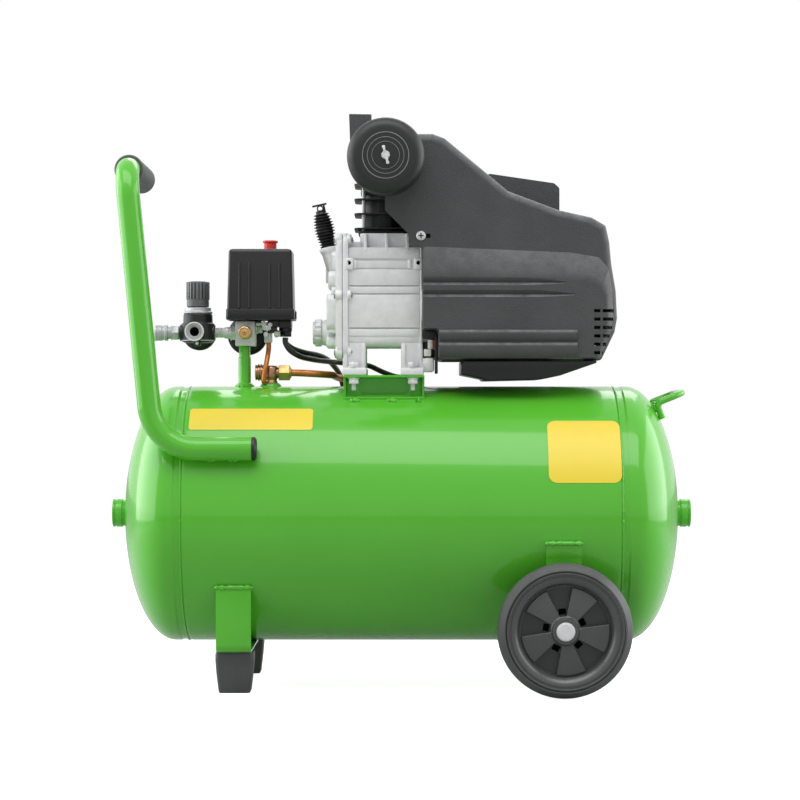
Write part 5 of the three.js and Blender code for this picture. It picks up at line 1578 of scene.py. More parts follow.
# ---------- Shroud ----------
@dataclass
class Shroud(Assembly):
    """Plastic shroud over the motor, its tray, the capacitor box and what its open corner shows.

    Outlines are (x, z) points seen from the near side.

    Args:
        panel: Distance of the upper side panels from the middle plane.
        bulge: Distance of the lower side panels from it.
        edge: Width of the rounding along the outline.
        wall: Thickness.
        left: Left edge of the lower panels.
        bottom: Height of the lower edge.
        top: Height of the upright plate's upper edge.
        rows: Heights of the louvers.
    """

    panel: float = 78.0
    bulge: float = 89.6
    edge: float = 9.9
    wall: float = 2.5
    left: float = 25.2
    bottom: float = 400.2
    top: float = field(default_factory=lambda: Box.of("motor_shroud").high.z)
    rows: tuple[float, ...] = tuple(460.4 - 10.2 * i for i in range(6))

    def section(self, outer: float, left: float) -> list[Pair]:
        """Silhouette drawn in by one distance, and by another at the edges beside the cylinder.

        Args:
            outer: Distance for the right, upper and lower edges.
            left: Distance for the left edges.
        """
        outline = [(44.4, self.bottom), (243.5, self.bottom), (260.2, 435.0), (263.2, 452.0),
                   (261.6, 485.0), (256.0, 519.0), (253.6, 545.0), (249.2, 565.0), (232.0, 575.0),
                   (191.5, 584.0), (129.5, 607.2), (107.5, 626.0), (52.5, 671.6), (38.0, 677.0),
                   (-20.3, 677.0), (-20.3, 584.0), (8.0, 555.5), (9.6, 538.8), (self.left, 538.8),
                   (self.left, 438.0), (44.4, 438.0)]
        corner = outline.index((-20.3, 677.0))
        drawn, still = inset(outline, outer), inset(outline, left)
        return rounded([(still[0][0], drawn[0][1]), *drawn[1:corner],
                        (still[corner][0], drawn[corner][1]), *still[corner + 1:]], 5, 3)

    def shell(self) -> Shape:
        """Shell with rounded long edges, hollow inside."""
        sections, room, steps = [], [], 5
        for side in SIDES:
            for i in range(steps + 1):
                angle = math.radians(90 * (i if side > 0 else steps - i) / steps)
                level = side * (self.panel - self.edge * (1 - math.sin(angle)))
                sections.append((self.section(self.edge * (1 - math.cos(angle)), 0), level))
            levels = [(self.edge + 2, self.panel - self.wall), (self.wall, self.panel - 12)]
            room += [(self.section(drawn_in, self.wall), side * level)
                     for drawn_in, level in levels[::-side]]
        return Shape().loft(sections, Axis.Y).cut(Shape().loft(room, Axis.Y))

    def lower_panel(self, side: int) -> Shape:
        """Thick lower panel whose upper edge slopes in to the flat one above."""
        left = self.left
        back = [(left + 0.4, 438.4), (44.8, 438.4), (44.8, 402.0), (241.5, 402.0), (255.8, 436.0),
                (258.2, 452.0), (256.8, 485.0), (252.4, 512.0), (240.0, 526.0), (205.0, 531.6),
                (100.0, 536.0), (left + 0.4, 539.0)]
        front = [(left + 1.2, 439.4), (45.8, 439.4), (45.8, 403.4), (236.0, 403.4), (247.5, 436.0),
                 (249.0, 452.0), (247.5, 476.0), (242.0, 489.0), (228.0, 495.6), (196.0, 497.6),
                 (100.0, 498.6), (left + 1.2, 499.4)]
        levels = [(back, self.panel - 3), (back, self.panel)]
        for share in (0.35, 0.7, 0.92):
            middle = [(a[0] + (b[0] - a[0]) * share, a[1] + (b[1] - a[1]) * share)
                      for a, b in zip(back, front)]
            rise = math.sin(share * math.pi / 2)
            levels.append((middle, self.panel + (self.bulge - self.panel) * rise))
        drawn = [(u + (140 - u) * 0.015, v + (450 - v) * 0.03) for u, v in front]
        levels += [(front, self.bulge), (drawn, self.bulge)]
        sections = [(rounded(points, 4, 2), side * level) for points, level in levels[::side]]
        return Shape().loft(sections, Axis.Y)

    def grooves(self, side: int) -> list[Shape]:
        """Two long grooves, gently sloped above and steep below, that run out to the right."""
        tools = []
        for z, end, tall in ((494.2, 200.0, 7.0), (479.8, 211.0, 6.0)):
            profile = [(1.5, tall + 2), (0.2, tall), (-0.7, 4.6), (-3.5, 1.5), (-3.7, 0.6),
                       (-2.8, -0.5), (0.3, -3.0), (1.5, -3.3)]
            rows = ((self.left - 3, 0.0, 1.0), (end - 46, 0.0, 1.0), (end - 18, 1.0, 0.8),
                    (end, 2.8, 0.6))
            tools.append(Shape().loft([
                ([(side * (self.bulge + lift + u), z + v * scale) for u, v in profile], x)
                for x, lift, scale in rows], Axis.X))
        return tools

    def louvers(self) -> list[Shape]:
        """Slots across the corner at the wheel end, short ones and long ones, on both sides."""
        tools = []
        for z, end in zip(self.rows, (258.6, 257.6, 256.2, 253.4, 249.4, 245.6)):
            for x, inner in (((233.5, 241.3), self.panel - 5), ((244.0, end), self.panel - 25)):
                tools += [Shape().slab(side, x, (inner, 100), (z - 2.0, z + 2.0)) for side in SIDES]
        return tools

    def ridges(self, side: int) -> Shape:
        """Two long rounded ridges at the foot of a side."""
        shape, face = Shape(), self.bulge - 0.8
        for low, high in ((423.0, 437.4), (403.4, 421.8)):
            tall = high - low
            outline = [(0, low), (1.2, low + 0.05 * tall), (3.4, low + 0.2 * tall),
                       (4.8, low + 0.45 * tall), (5.2, high - 4.4), (4.7, high - 2.6),
                       (3.2, high - 1.0), (1.2, high - 0.2), (0, high)]
            points = [(side * (face + y), z) for y, z in outline]
            shape.prism(points, Axis.X, 45.6, 213.4, edge=0.9)
        return shape

    def build_shell(self) -> None:
        """Shroud with its openings, louvers, panels and upright plate."""
        shape, room = self.shell(), self.panel - 9
        shape.cut(Shape().block((-2, -room, 537), (self.left - 0.5, room, 564)))
        shape.cut(Shape().block((-40, -room, 562), (self.left - 4, room, 673)))
        shape.drill(64.4, Axis.X, 15, 60, (0, 0, 468))
        for z in self.rows:
            for y in (-46, -15.5, 15.5, 46):
                shape.cut(Shape().block((240, y - 13, z - 2.0), (270, y + 13, z + 2.0)))
        shape.cut(Shape().block((50, -room, self.bottom - 10), (229, room, self.bottom + 9)))
        shape.drill(14.4, Axis.Y, -100, 0, (-19.1, 0, 644.6), 40)
        slots = self.louvers()
        for slot in slots:
            shape.cut(slot)
        for side in SIDES:
            panel = self.lower_panel(side)
            for tool in [*self.grooves(side), *slots]:
                panel.cut(tool)
            shape.add(panel)
            shape.add(self.ridges(side))
        shape.block((-30, self.panel - 3, 634), (-8, self.panel + 4, 672), 0.9)
        fin = [(-65.0, 656), (-24, 656), (-24, 676), (-38.4, 680), (-38.4, self.top - 0.4),
               (-67.4, self.top)]
        shape.prism(rounded(fin, 1.2, 2), Axis.Y, self.panel + 1.5, self.panel + 5.0, edge=0.8)
        shape.block((-40.0, self.panel - 4, 676), (-37.2, self.panel + 4.4, self.top - 8), 0.9)
        self.piece("shroud_shell", "shroud_plastic", shape, "motor_shroud", even=True)

    def build_pan(self) -> None:
        """Tray under the shroud."""
        outline = [(73.6, 400.0), (73.6, 383.2), (99.6, 377.9), (102.2, 375.4), (170.4, 377.0),
                   (192.6, 381.6), (245.4, 400.0)]
        ends = ((80.5, 0.0), (82.5, 1.0), (83.5, 3.0))
        levels = [(-level, drawn_in) for level, drawn_in in ends[::-1]] + [*ends]
        tray = Shape().loft([(rounded(inset(outline, drawn_in), 1.6, 2), level)
                             for level, drawn_in in levels], Axis.Y)
        tray.cut(Shape().block((106, -78, 381), (222, 78, 410)))
        self.piece("shroud_tray", "black_plastic", tray, "shroud_pan", slot="shroud_plastic")

    def build_capacitor_box(self) -> None:
        """Box on the far side with a sloping, rounded lid."""
        box = Box.of("capacitor_box")
        left, right, foot, far = box.low.x, box.high.x, box.low.z, box.high.y
        outline = [(left, foot), (right, foot), (right, 624.0), (right - 7, 630.0),
                   (left + 14, 642.0), (left, 637.0)]
        levels = ((self.panel - 1.5, 0.0), (far - 7, 0.0), (far - 3, 1.4), (far - 0.8, 4.2),
                  (far, 7.5))
        shape = Shape().loft([(rounded(inset(outline, drawn_in), 5, 3), level)
                              for level, drawn_in in levels], Axis.Y)
        self.piece("capacitor_housing", "shroud_plastic", shape, "capacitor_box")

    def build_screws(self) -> None:
        """Side screws, with near-black slabs painted as the shade of the slot that each one slides in
        and of their cross recesses.
        """
        x, z, face = 23.6, 552.0, self.panel
        screws, slots = Shape(), Shape()
        for side in SIDES:
            screws.add(pan_screw(5.8, 3.0, 1.8), move(x, side * face, z) @ turn(-90 * side, "X"))
            # Painted shade: a thin near-black slab for the slot, and a near-black cross in each
            # screw's recess.
            slots.slab(side, (29.9, 35.2), (face - 0.4, face + 0.3), (549.4, 554.6), 0.1)
            for a, b in ((2.9, 0.4), (0.4, 2.9)):
                slots.slab(side, (x - a, x + a), (face + 1, face + 2.6), (z - b, z + b))
        self.piece("shroud_screws", "zinc_plated", screws)
        self.piece("shroud_slot_shade", "painted_shade_black", slots)

    def build_terminals(self) -> None:
        """Connectors, cable and lug in the open corner beside the crankcase."""
        for name, finish, blocks in (
            ("terminal_block", "black_plastic", (((26.2, -62, 427), (45.5, -34, 437.6), 1.2),
                                                 ((40.5, -66, 384), (44.4, -58, 431), 1.2),
                                                 ((26.2, -46, 404), (44, -36, 430), 1.0))),
            ("terminal_sleeves", "dial_white", (((32.2, -62.5, 414.6), (38.2, -50, 425.8), 0.9),
                                                ((27.4, -63.5, 405.6), (36.2, -51, 414.2), 0.9))),
            ("terminal_winding", "winding_copper",
             (((38.4, -58, 413.4), (43.6, -47, 426.4), 0.8),)),
        ):
            shape = Shape()
            for low, high, edge in blocks:
                shape.block(low, high, edge)
            self.piece(name, finish, shape)
        lug = Shape().rod(8.6, Axis.Y, -60, -40, (31.0, 0, 395.2), edge=1.4)
        lug.block((24.4, -58, 386.4), (33, -42, 403.6), 1.2)
        lug.ring(5.4, 2.6, Axis.Y, -61.4, -58, (32.2, 0, 395.6), 0.6, 28)
        self.piece("motor_lug", "cast_aluminium", lug)

    def build(self) -> None:
        """Makes the shroud and what goes with it."""
        self.build_shell()
        self.build_pan()
        self.build_capacitor_box()
        self.build_screws()
        self.build_terminals()


# ---------- Intake filter ----------
@dataclass
class Filter(Assembly):
    """Round intake filter in front of the head, modelled about Y.

    Args:
        radius: Outer radius.
        flat: Radius of the flat middle of the cover.
        shoulder: Depth of its rounded edge.
        nut_tilt: Angle at which the wing nut was left, in degrees.
    """

    radius: float = 46.6
    flat: float = 33.4
    shoulder: float = 13.3
    nut_tilt: float = 14.7

    def build(self) -> None:
        """Cover, base and wing nut."""
        cover = Box.of("filter_cover")
        centre = (cover.centre.x, 0, cover.centre.z)
        face, seam, radius, flat = cover.low.y, cover.high.y, self.radius, self.flat
        front = face + 0.6
        profile = [(3.6, front), (15.9, front), (flat - 1.2, front), (flat, front + 0.1)]
        for angle in (math.radians(9 * i) for i in range(1, 11)):
            drop = self.shoulder * (1 - math.cos(angle))
            profile.append((flat + (radius - flat) * math.sin(angle), front + 0.1 + drop))
        profile += [(radius, seam - 0.6), (radius - 0.6, seam), (radius - 2.6, seam),
                    (radius - 2.6, face + 15), (flat - 2, face + 3.2), (3.6, face + 3.2)]
        lid = Shape().revolve(profile, Axis.Y, centre, 128)
        self.piece("filter_lid", "filter_plastic", lid, "filter_cover")
        # The ridges take a lighter grey than the lid: painted highlight along their crests.
        rings = Shape()
        for ridge, width in ((16.5, 0.3), (21.9, 0.35), (27.7, 0.5)):
            rings.ring(ridge + width, ridge - width, Axis.Y, face + 0.05, face + 1.6, centre,
                       0.3, 96)
        self.piece("filter_ridges", "painted_ridge_highlight", rings)
        wall, back, pipe = radius - 0.9, -86.4, -38.4
        dish = [(0, seam + 6), (wall - 3.4, seam + 6), (wall - 3.4, seam + 0.3), (wall, seam + 0.3),
                (wall, -91), (wall - 2, back), (14, back), (14, -60), (12, -60), (12, pipe),
                (0, pipe)]
        bolt = Shape().rod(3.0, Axis.Y, face - 5.4, seam + 8, centre, edge=0.7, steps=24)
        self.piece("filter_bolt", "zinc_plated", bolt)
        shape = Shape().turned(dish, 0.8, 2, Axis.Y, centre, 112)
        self.piece("filter_dish", "filter_plastic", shape, "filter_base")
        nut = Shape().turned([(3.1, face - 5.0), (4.3, face - 5.0), (5.0, face - 2.6),
                              (5.4, face - 0.2), (3.1, face - 0.2)], 0.5, 2, Axis.Y, steps=36)
        for side in SIDES:
            start = 180 - 35 * side
            tip = arc((0, side * 9.1), 2.5, start, start - 110 * side, 10)
            wing = [(-1.7, side * 3.6), (-1.3, side * 6.6), *tip, (1.3, side * 6.6),
                    (1.7, side * 3.6)]
            nut.prism(wing, Axis.Y, face - 5.8, face - 3.2, edge=0.7)
        self.piece("wing_nut", "zinc_plated", nut, "filter_wing_nut", "filter_wing_nut",
                   slot="nickel", place=move(*centre) @ turn(-self.nut_tilt, "Y"))


# ---------- Air fittings ----------
@dataclass
class Fittings(Assembly):
    """Manifold on the riser, gauges, safety valve, regulator and quick couplers.

    Args:
        port_z: Height of the side ports.
    """

    port_z: float = 436.0

    def build_manifold(self) -> None:
        """Block with its unions, and the brass safety valve."""
        x, z = RISER_X + 1.5, self.port_z
        foot, top, port = Box.of("tank_shell").high.z + 0.3, 450.3, (0, 0, z)
        block = Shape().block((x - 12.4, -13, foot), (x + 12.4, 13, top), 1.3, 3)
        block.rod(6.4, Axis.Z, top - 1, top + 0.8, (x, 0, 0))
        block.hexagon(17.5, Axis.X, x - 17.5, x - 11, port, 30)
        block.ring(9.6, 4, Axis.X, x - 19.4, x - 17.0, port, 0.5)
        block.ring(7.4, 3.4, Axis.X, x - 26, x - 19, port, 0.6)
        nipple = [(3.4, x - 47.0), (6.6, x - 47.0)]
        for i in range(9):
            nipple += [(6.7, x - 46.4 + 2 * i), (5.9, x - 45.4 + 2 * i)]
        block.revolve([*nipple, (6.7, x - 26), (3.4, x - 26)], Axis.X, port, 36)
        block.rod(7.4, Axis.X, x + 11, x + 15.4, (0, 0, z + 6), edge=0.8)
        block.hexagon(12.4, Axis.X, x + 14.4, x + 20.6, (0, 0, z + 6), 30)
        block.rod(4.0, Axis.Y, 12, Box.of("tank_gauge").low.y + 2, (x - 1, 0, z - 2), edge=0.3)
        self.piece("manifold_block", "zinc_plated", block, "manifold", slot="nickel")
        screws = Shape()
        for dx, dz in ((24.5, 5.4), (29.5, 5.4), (26.0, -2.4)):
            screws.hexagon(5.6, Axis.Y, -20, -15.4, (x + dx, 0, z + dz))
        self.piece("manifold_screws", "zinc_plated", screws, slot="nickel")
        valve = Box.of("safety_valve").centre
        centre = (valve.x + 1.6, 0, valve.z - 0.6)
        profile = [(1.1, -40), (2.6, -40), (3.0, -38.4), (5.6, -38.4), (6.0, -40), (7.2, -39.4),
                   (7.6, -36.2), (6.2, -35.4), (6.2, -25), (8.2, -23.6), (8.2, -13.3), (0, -13.3),
                   (0, -30), (1.1, -30)]
        brass = Shape().revolve(rounded(profile, 0.3, 2, closed=False), Axis.Y, centre)
        brass.hexagon(13.6, Axis.Y, -22.6, -15, centre)
        self.piece("safety_valve_body", "brass", brass, "safety_valve")

    def numeral(self, text: str, size: float) -> Shape:
        """Flat numeral that faces +Z."""
        curve = bpy.data.curves.new("numeral", "FONT")
        curve.body, curve.size = text, size
        curve.align_x = curve.align_y = "CENTER"
        curve.extrude, curve.resolution_u = 0.08, 2
        holder = bpy.data.objects.new("numeral", curve)
        bpy.context.scene.collection.objects.link(holder)
        mesh, shape = evaluated(holder), Shape()
        shape.mesh.from_mesh(mesh)
        bpy.data.objects.remove(holder)
        bpy.data.meshes.remove(mesh)
        bmesh.ops.remove_doubles(shape.mesh, verts=shape.mesh.verts, dist=SAME_POINT)
        return shape

    def marks(self, radius: float, face: Matrix) -> Shape:
        """Bars and numbers of a dial.

        Args:
            radius: Radius of the gauge's case.
            face: Place of the dial's middle.
        """
        shape = Shape()
        for i in range(31):
            start, half = (7.4, 0.28) if i % 5 == 0 else (5.4, 0.14)
            bar = Shape().block((radius - start, -half, 0), (radius - 3.6, half, 0.12))
            shape.add(bar, face @ turn(90, "X") @ turn(180, "Y") @ turn(225 - 9 * i, "Z"))
        reach = radius - 10.6
        for i in range(7):
            angle = math.radians(225 - 45 * i)
            spot = move(-reach * math.cos(angle), 0, reach * math.sin(angle))
            shape.add(self.numeral(str(2 * i), radius * 0.2),
                      face @ spot @ turn(180, "Z") @ turn(90, "X"))
        return shape

    def gauge(self, name: str, stem: float) -> None:
        """Gauge that faces +Y, with its case, dial, marks and needle.

        Args:
            name: Name of its CAD node.
            stem: Radius of its stem.
        """
        box, needle = Box.of(name), Box.of(f"{name}_needle").low.y
        x, z, radius = box.centre.x, box.centre.z, box.size.x / 2
        centre, front = (x, 0, z), box.high.y
        back, dial = front - 17, front - 7
        profile = [(0, box.low.y), (stem, box.low.y), (stem, back - 1), (radius - 4, back),
                   (radius, back + 3), (radius, front - 1), (radius - 0.8, front),
                   (radius - 2.6, front), (radius - 2.6, dial), (1.2, dial), (1.2, front - 3.4),
                   (0, front - 3.2)]
        self.piece(f"{name}_case", "black_plastic",
                   Shape().turned(profile, 0.7, 3, Axis.Y, centre, 72), name)
        face = Shape().ring(radius - 2.8, 1.4, Axis.Y, dial + 0.05, dial + 0.3, centre, 0.05, 64)
        self.piece(f"{name}_dial", "dial_white", face)
        self.piece(f"{name}_marks", "black_plastic", self.marks(radius, move(x, dial + 0.3, z)))
        hub = Shape().ring(2.8, 1.5, Axis.Y, needle, needle + 1.3, centre, 0.2, 32)
        outline = [(-0.9, -3.6), (0.9, -3.6), (0.35, radius - 6), (-0.35, radius - 6)]
        pointer = Shape().prism(outline, Axis.Y, needle + 0.3, needle + 0.8)
        pointer.drill(1.9, Axis.Y, needle - 2, needle + 4, steps=24)
        hub.add(pointer, move(x, 0, z) @ turn(135, "Y"))
        self.piece(f"{name}_pointer", "red_plastic", hub, f"{name}_needle", f"{name}_needle")

    def build_regulator(self) -> None:
        """Body with its near and left ports, its bonnet ring and its knob."""
        box = Box.of("regulator_knob")
        x, z, foot, top = box.centre.x, self.port_z, box.high.z - 32, box.high.z
        profile = [(0, z - 12.6), (16.5, z - 12.6), (19.6, z - 11), (20.8, z - 9.4),
                   (20.8, z + 10.6), (18.4, z + 12.6), (18.1, z + 22.4), (17.0, z + 23.6),
                   (0, z + 23.6)]
        body = Shape().turned(profile, 1.0, 3, centre=(x, 0, 0), steps=72)
        body.rod(11, Axis.Y, -21.5, 23.6, (x, 0, z), 0.8, 40)
        body.rod(10.4, Axis.X, x - 22.4, x + 21.6, (0, 0, z), 0.8, 40)
        # The thin bright ring round the body stands for the light caught by the bevel between body
        # and bowl: painted highlight.
        line = Shape().ring(21.1, 18, Axis.Z, z - 10.1, z - 9.3, (x, 0, 0), 0.2, 72)
        line.rod(2.0, Axis.Y, -21.6, -14, (x + 0.6, 0, z - 13.6), 0.6, 24)
        body.block((x - 3.4, -20.4, z - 16.8), (x + 4.6, -8, z - 10), 1.2)
        self.piece("regulator_line", "zinc_plated", line, slot="nickel")
        self.piece("regulator_casting", "black_plastic", body, "regulator_body")
        profile = [(14, z + 23.8), (17.9, z + 23.8), (18.3, z + 25.6), (16.4, z + 27.2),
                   (16.4, z + 31.2), (14, z + 31.2)]
        ring = Shape().turned(profile, 0.7, centre=(x, 0, 0), steps=64)
        self.piece("regulator_ring", "nickel", ring)
        profile = [(0, foot - 10), (4.6, foot - 10), (4.6, foot), (13.2, foot), (13.8, foot + 1.2),
                   (13.4, foot + 9), (11.2, foot + 10), (11.2, top - 1.4), (10.6, top), (0, top)]
        knob = Shape().turned(profile, 0.5, steps=64)
        for i in range(6):
            level = foot + 1.4 + 1.5 * i
            knob.ring(14.1, 12.5, Axis.Z, level, level + 0.8, edge=0.2)
        wedge = [(10.4, -0.95), (14.5, -1.2), (14.5, 1.2), (10.4, 0.95)]
        rib, ribs = Shape().prism(wedge, Axis.Z, foot + 9.4, top - 0.7, edge=0.4), 20
        knob.add(rib, *(turn(360 * i / ribs, "Z") for i in range(ribs)))
        self.piece("regulator_cap", "knob_plastic", knob, "regulator_knob", "regulator_knob",
                   place=move(x, 0, 0))

    def coupler(self, name: str, place: Matrix, lip: float) -> None:
        """Quick coupler that points along +X before it is placed.

        Args:
            name: Name of its CAD node.
            place: Where its foot goes.
            lip: Radius of the sleeve's lip.
        """
        body = f"{name}_sleeve"
        core = Shape().hexagon(17, Axis.X, 0.4, 9.6, degrees=30)
        core.ring(9.4, 4.0, Axis.X, 9.0, 10.3)
        core.turned([(5.6, 9), (7.8, 9), (7.8, 30.6), (5.6, 28.4)], 0.3, axis=Axis.X)
        self.piece(f"{name}_core", "nickel", core, name, place=place)
        # Near-black lining of the bore: painted shade that makes it read deep, and the rubber inside
        # the coupler.
        bore = Shape().ring(5.7, 5.2, Axis.X, 10, 28.6, edge=0.2, steps=40)
        bore.rod(5.3, Axis.X, 10, 19, edge=0.5)
        self.piece(f"{name}_seal_and_bore_shade", "painted_shade_black", bore, slot="rubber", place=place)
        rim = Shape().ring(lip + 0.3, lip - 1.4, Axis.X, 28.6, 31.4, edge=0.7, steps=64)
        self.piece(f"{name}_lip", "zinc_plated", rim, body=body, slot="nickel", place=place)
        outer = [(8.1, 14.6), (9.7, 14.6), (10.0, 15.2), (10.0, 18.0), (9.2, 18.8), (9.2, 21.0),
                 (10.0, 21.8), (10.0, 26.4), (9.6, 27.4), (lip, 28.4), (lip, 30.0), (8.1, 30.0)]
        sleeve = Shape().turned(outer, 0.3, axis=Axis.X, steps=64)
        self.piece(f"{name}_collar", "nickel", sleeve, body, body, place=place)

    def build(self) -> None:
        """Makes the fittings."""
        self.build_manifold()
        self.gauge("tank_gauge", 5.6)
        self.gauge("outlet_gauge", 5.2)
        self.build_regulator()
        x = Box.of("regulator_knob").centre.x
        self.coupler("coupler_left", move(x - 23, 0, self.port_z) @ turn(180, "Z"), 10.3)
        self.coupler("coupler_near", move(x, -24, self.port_z) @ turn(-90, "Z"), 11.6)


# ---------- Pressure switch ----------
@dataclass
class PressureSwitch(Assembly):
    """Ribbed black cover on its base, with the red knob and the glands below."""

    def build_cover(self) -> None:
        """Tapered cover with rounded top edges and four ribs on each long side."""
        box = Box.of("switch_cover")
        x, half_x, half_y = box.centre.x, box.size.x / 2, box.size.y / 2
        low, high = box.low.z, box.high.z

        def outline(drawn_in: float, corner: float) -> list[Pair]:
            """Rounded outline at one height."""
            u, v = half_x - drawn_in, half_y - drawn_in
            return [(x + a, b) for a, b in rectangle((-u, -v), (u, v), corner, 5)]

        shell = Shape().loft([(outline(0.0, 4), low), (outline(1.8, 4), high - 4.2),
                              (outline(2.3, 4), high - 2.4), (outline(3.4, 4), high - 0.9),
                              (outline(5.2, 4), high)], Axis.Z)
        shell.cut(Shape().loft([(outline(2.6, 3), low - 1), (outline(4.6, 3), high - 2.6)], Axis.Z))
        knob_x = Box.of("switch_knob").centre.x
        shell.drill(8.4, Axis.Z, high - 10, high + 4, (knob_x, 0, 0), 36)
        for side in SIDES:
            for rib_x in (-200.4, -188.2, -163.2, -151.2):
                foot = Vector((rib_x + (rib_x - x) * 0.02, side * (half_y + 0.1), 464.5))
                top = Vector((rib_x, side * (half_y - 1.3), 523.0))
                rib = [foot - Vector((0, side * 1.6, 0)), foot + Vector((0, 0, 1.5)),
                       top - Vector((0, 0, 1.5)), top - Vector((0, side * 1.8, 0))]
                shell.tube(rib, [0.8, 1.5, 1.5, 0.8], 12)
        self.piece("switch_housing", "switch_plastic", shell, "switch_cover")

    def build_knob(self) -> None:
        """Red pull-and-push knob."""
        box = Box.of("switch_knob")
        top = box.high.z
        profile = [(0, top - 42), (6.4, top - 42), (7.8, top - 40), (7.8, top - 3.2),
                   (9.5, top - 2.8), (9.7, top - 0.8), (8.2, top), (0, top)]
        knob = Shape().turned(profile, 0.9, 3, centre=(box.centre.x, 0, 0), steps=56)
        self.piece("switch_button", "red_plastic", knob, "switch_knob", "switch_knob")

    def build_base(self) -> None:
        """Base with its lip, contact block, clamp blocks and cable gland."""
        cover, foot = Box.of("switch_cover"), 451.4
        x, top = cover.centre.x, cover.low.z - 0.2
        half_x, half_y = cover.size.x / 2 + 1.2, cover.size.y / 2 + 1.0
        base = Shape().prism(rectangle((-half_x, -half_y), (half_x, half_y), 4, 4), Axis.Z, foot,
                             top + 1.4, (x, 0, 0), edge=1.0)
        for edge in (x - half_x, x + half_x):
            base.block((edge - 1.6, -8, foot + 1.6), (edge + 1.6, 8, top - 1), 0.7)
        base.block((x - 30, -22, top), (x + 30, 22, top + 30), 1.0)
        base.block((x + 22.0, -17, 441.8), (x + 38.0, 17, foot + 1), 1.4)
        base.block((x + 8.5, -19, 443.0), (x + 22.5, 15, foot + 1), 1.2)
        base.block((x + 8.0, -15, 435.5), (x + 19.5, 10, 444), 1.2)
        base.hexagon(14.5, Axis.Z, 431.0, 438.0, (x + 30, 0, 0))
        base.rod(8.2, Axis.Z, 437, 443, (x + 30, 0, 0), 1.0, 40)
        self.piece("switch_foot", "switch_plastic", base, "switch_base")
        metal = Shape().rod(3.9, Axis.X, x + 16.4, x + 24, (0, -12, 434.6), edge=0.5)
        metal.hexagon(8.4, Axis.X, x + 17.6, x + 21.4, (0, -12, 434.6))
        metal.block((x + 3.6, -6.4, 423.6), (x + 13.4, 6.4, 437.0), 1.0)
        metal.hexagon(6.2, Axis.Y, -21.0, -17.0, (x + 4.0, 0, 446.6))
        metal.hexagon(5.6, Axis.Y, -21.4, -17.0, (x + 11.8, 0, 445.4))
        metal.rod(2.3, Axis.X, x - 6, x + 12, (0, -14, 446.6), edge=0.3)
        self.piece("switch_fittings", "zinc_plated", metal, slot="nickel")

    def build(self) -> None:
        """Makes the switch."""
        self.build_cover()
        self.build_knob()
        self.build_base()


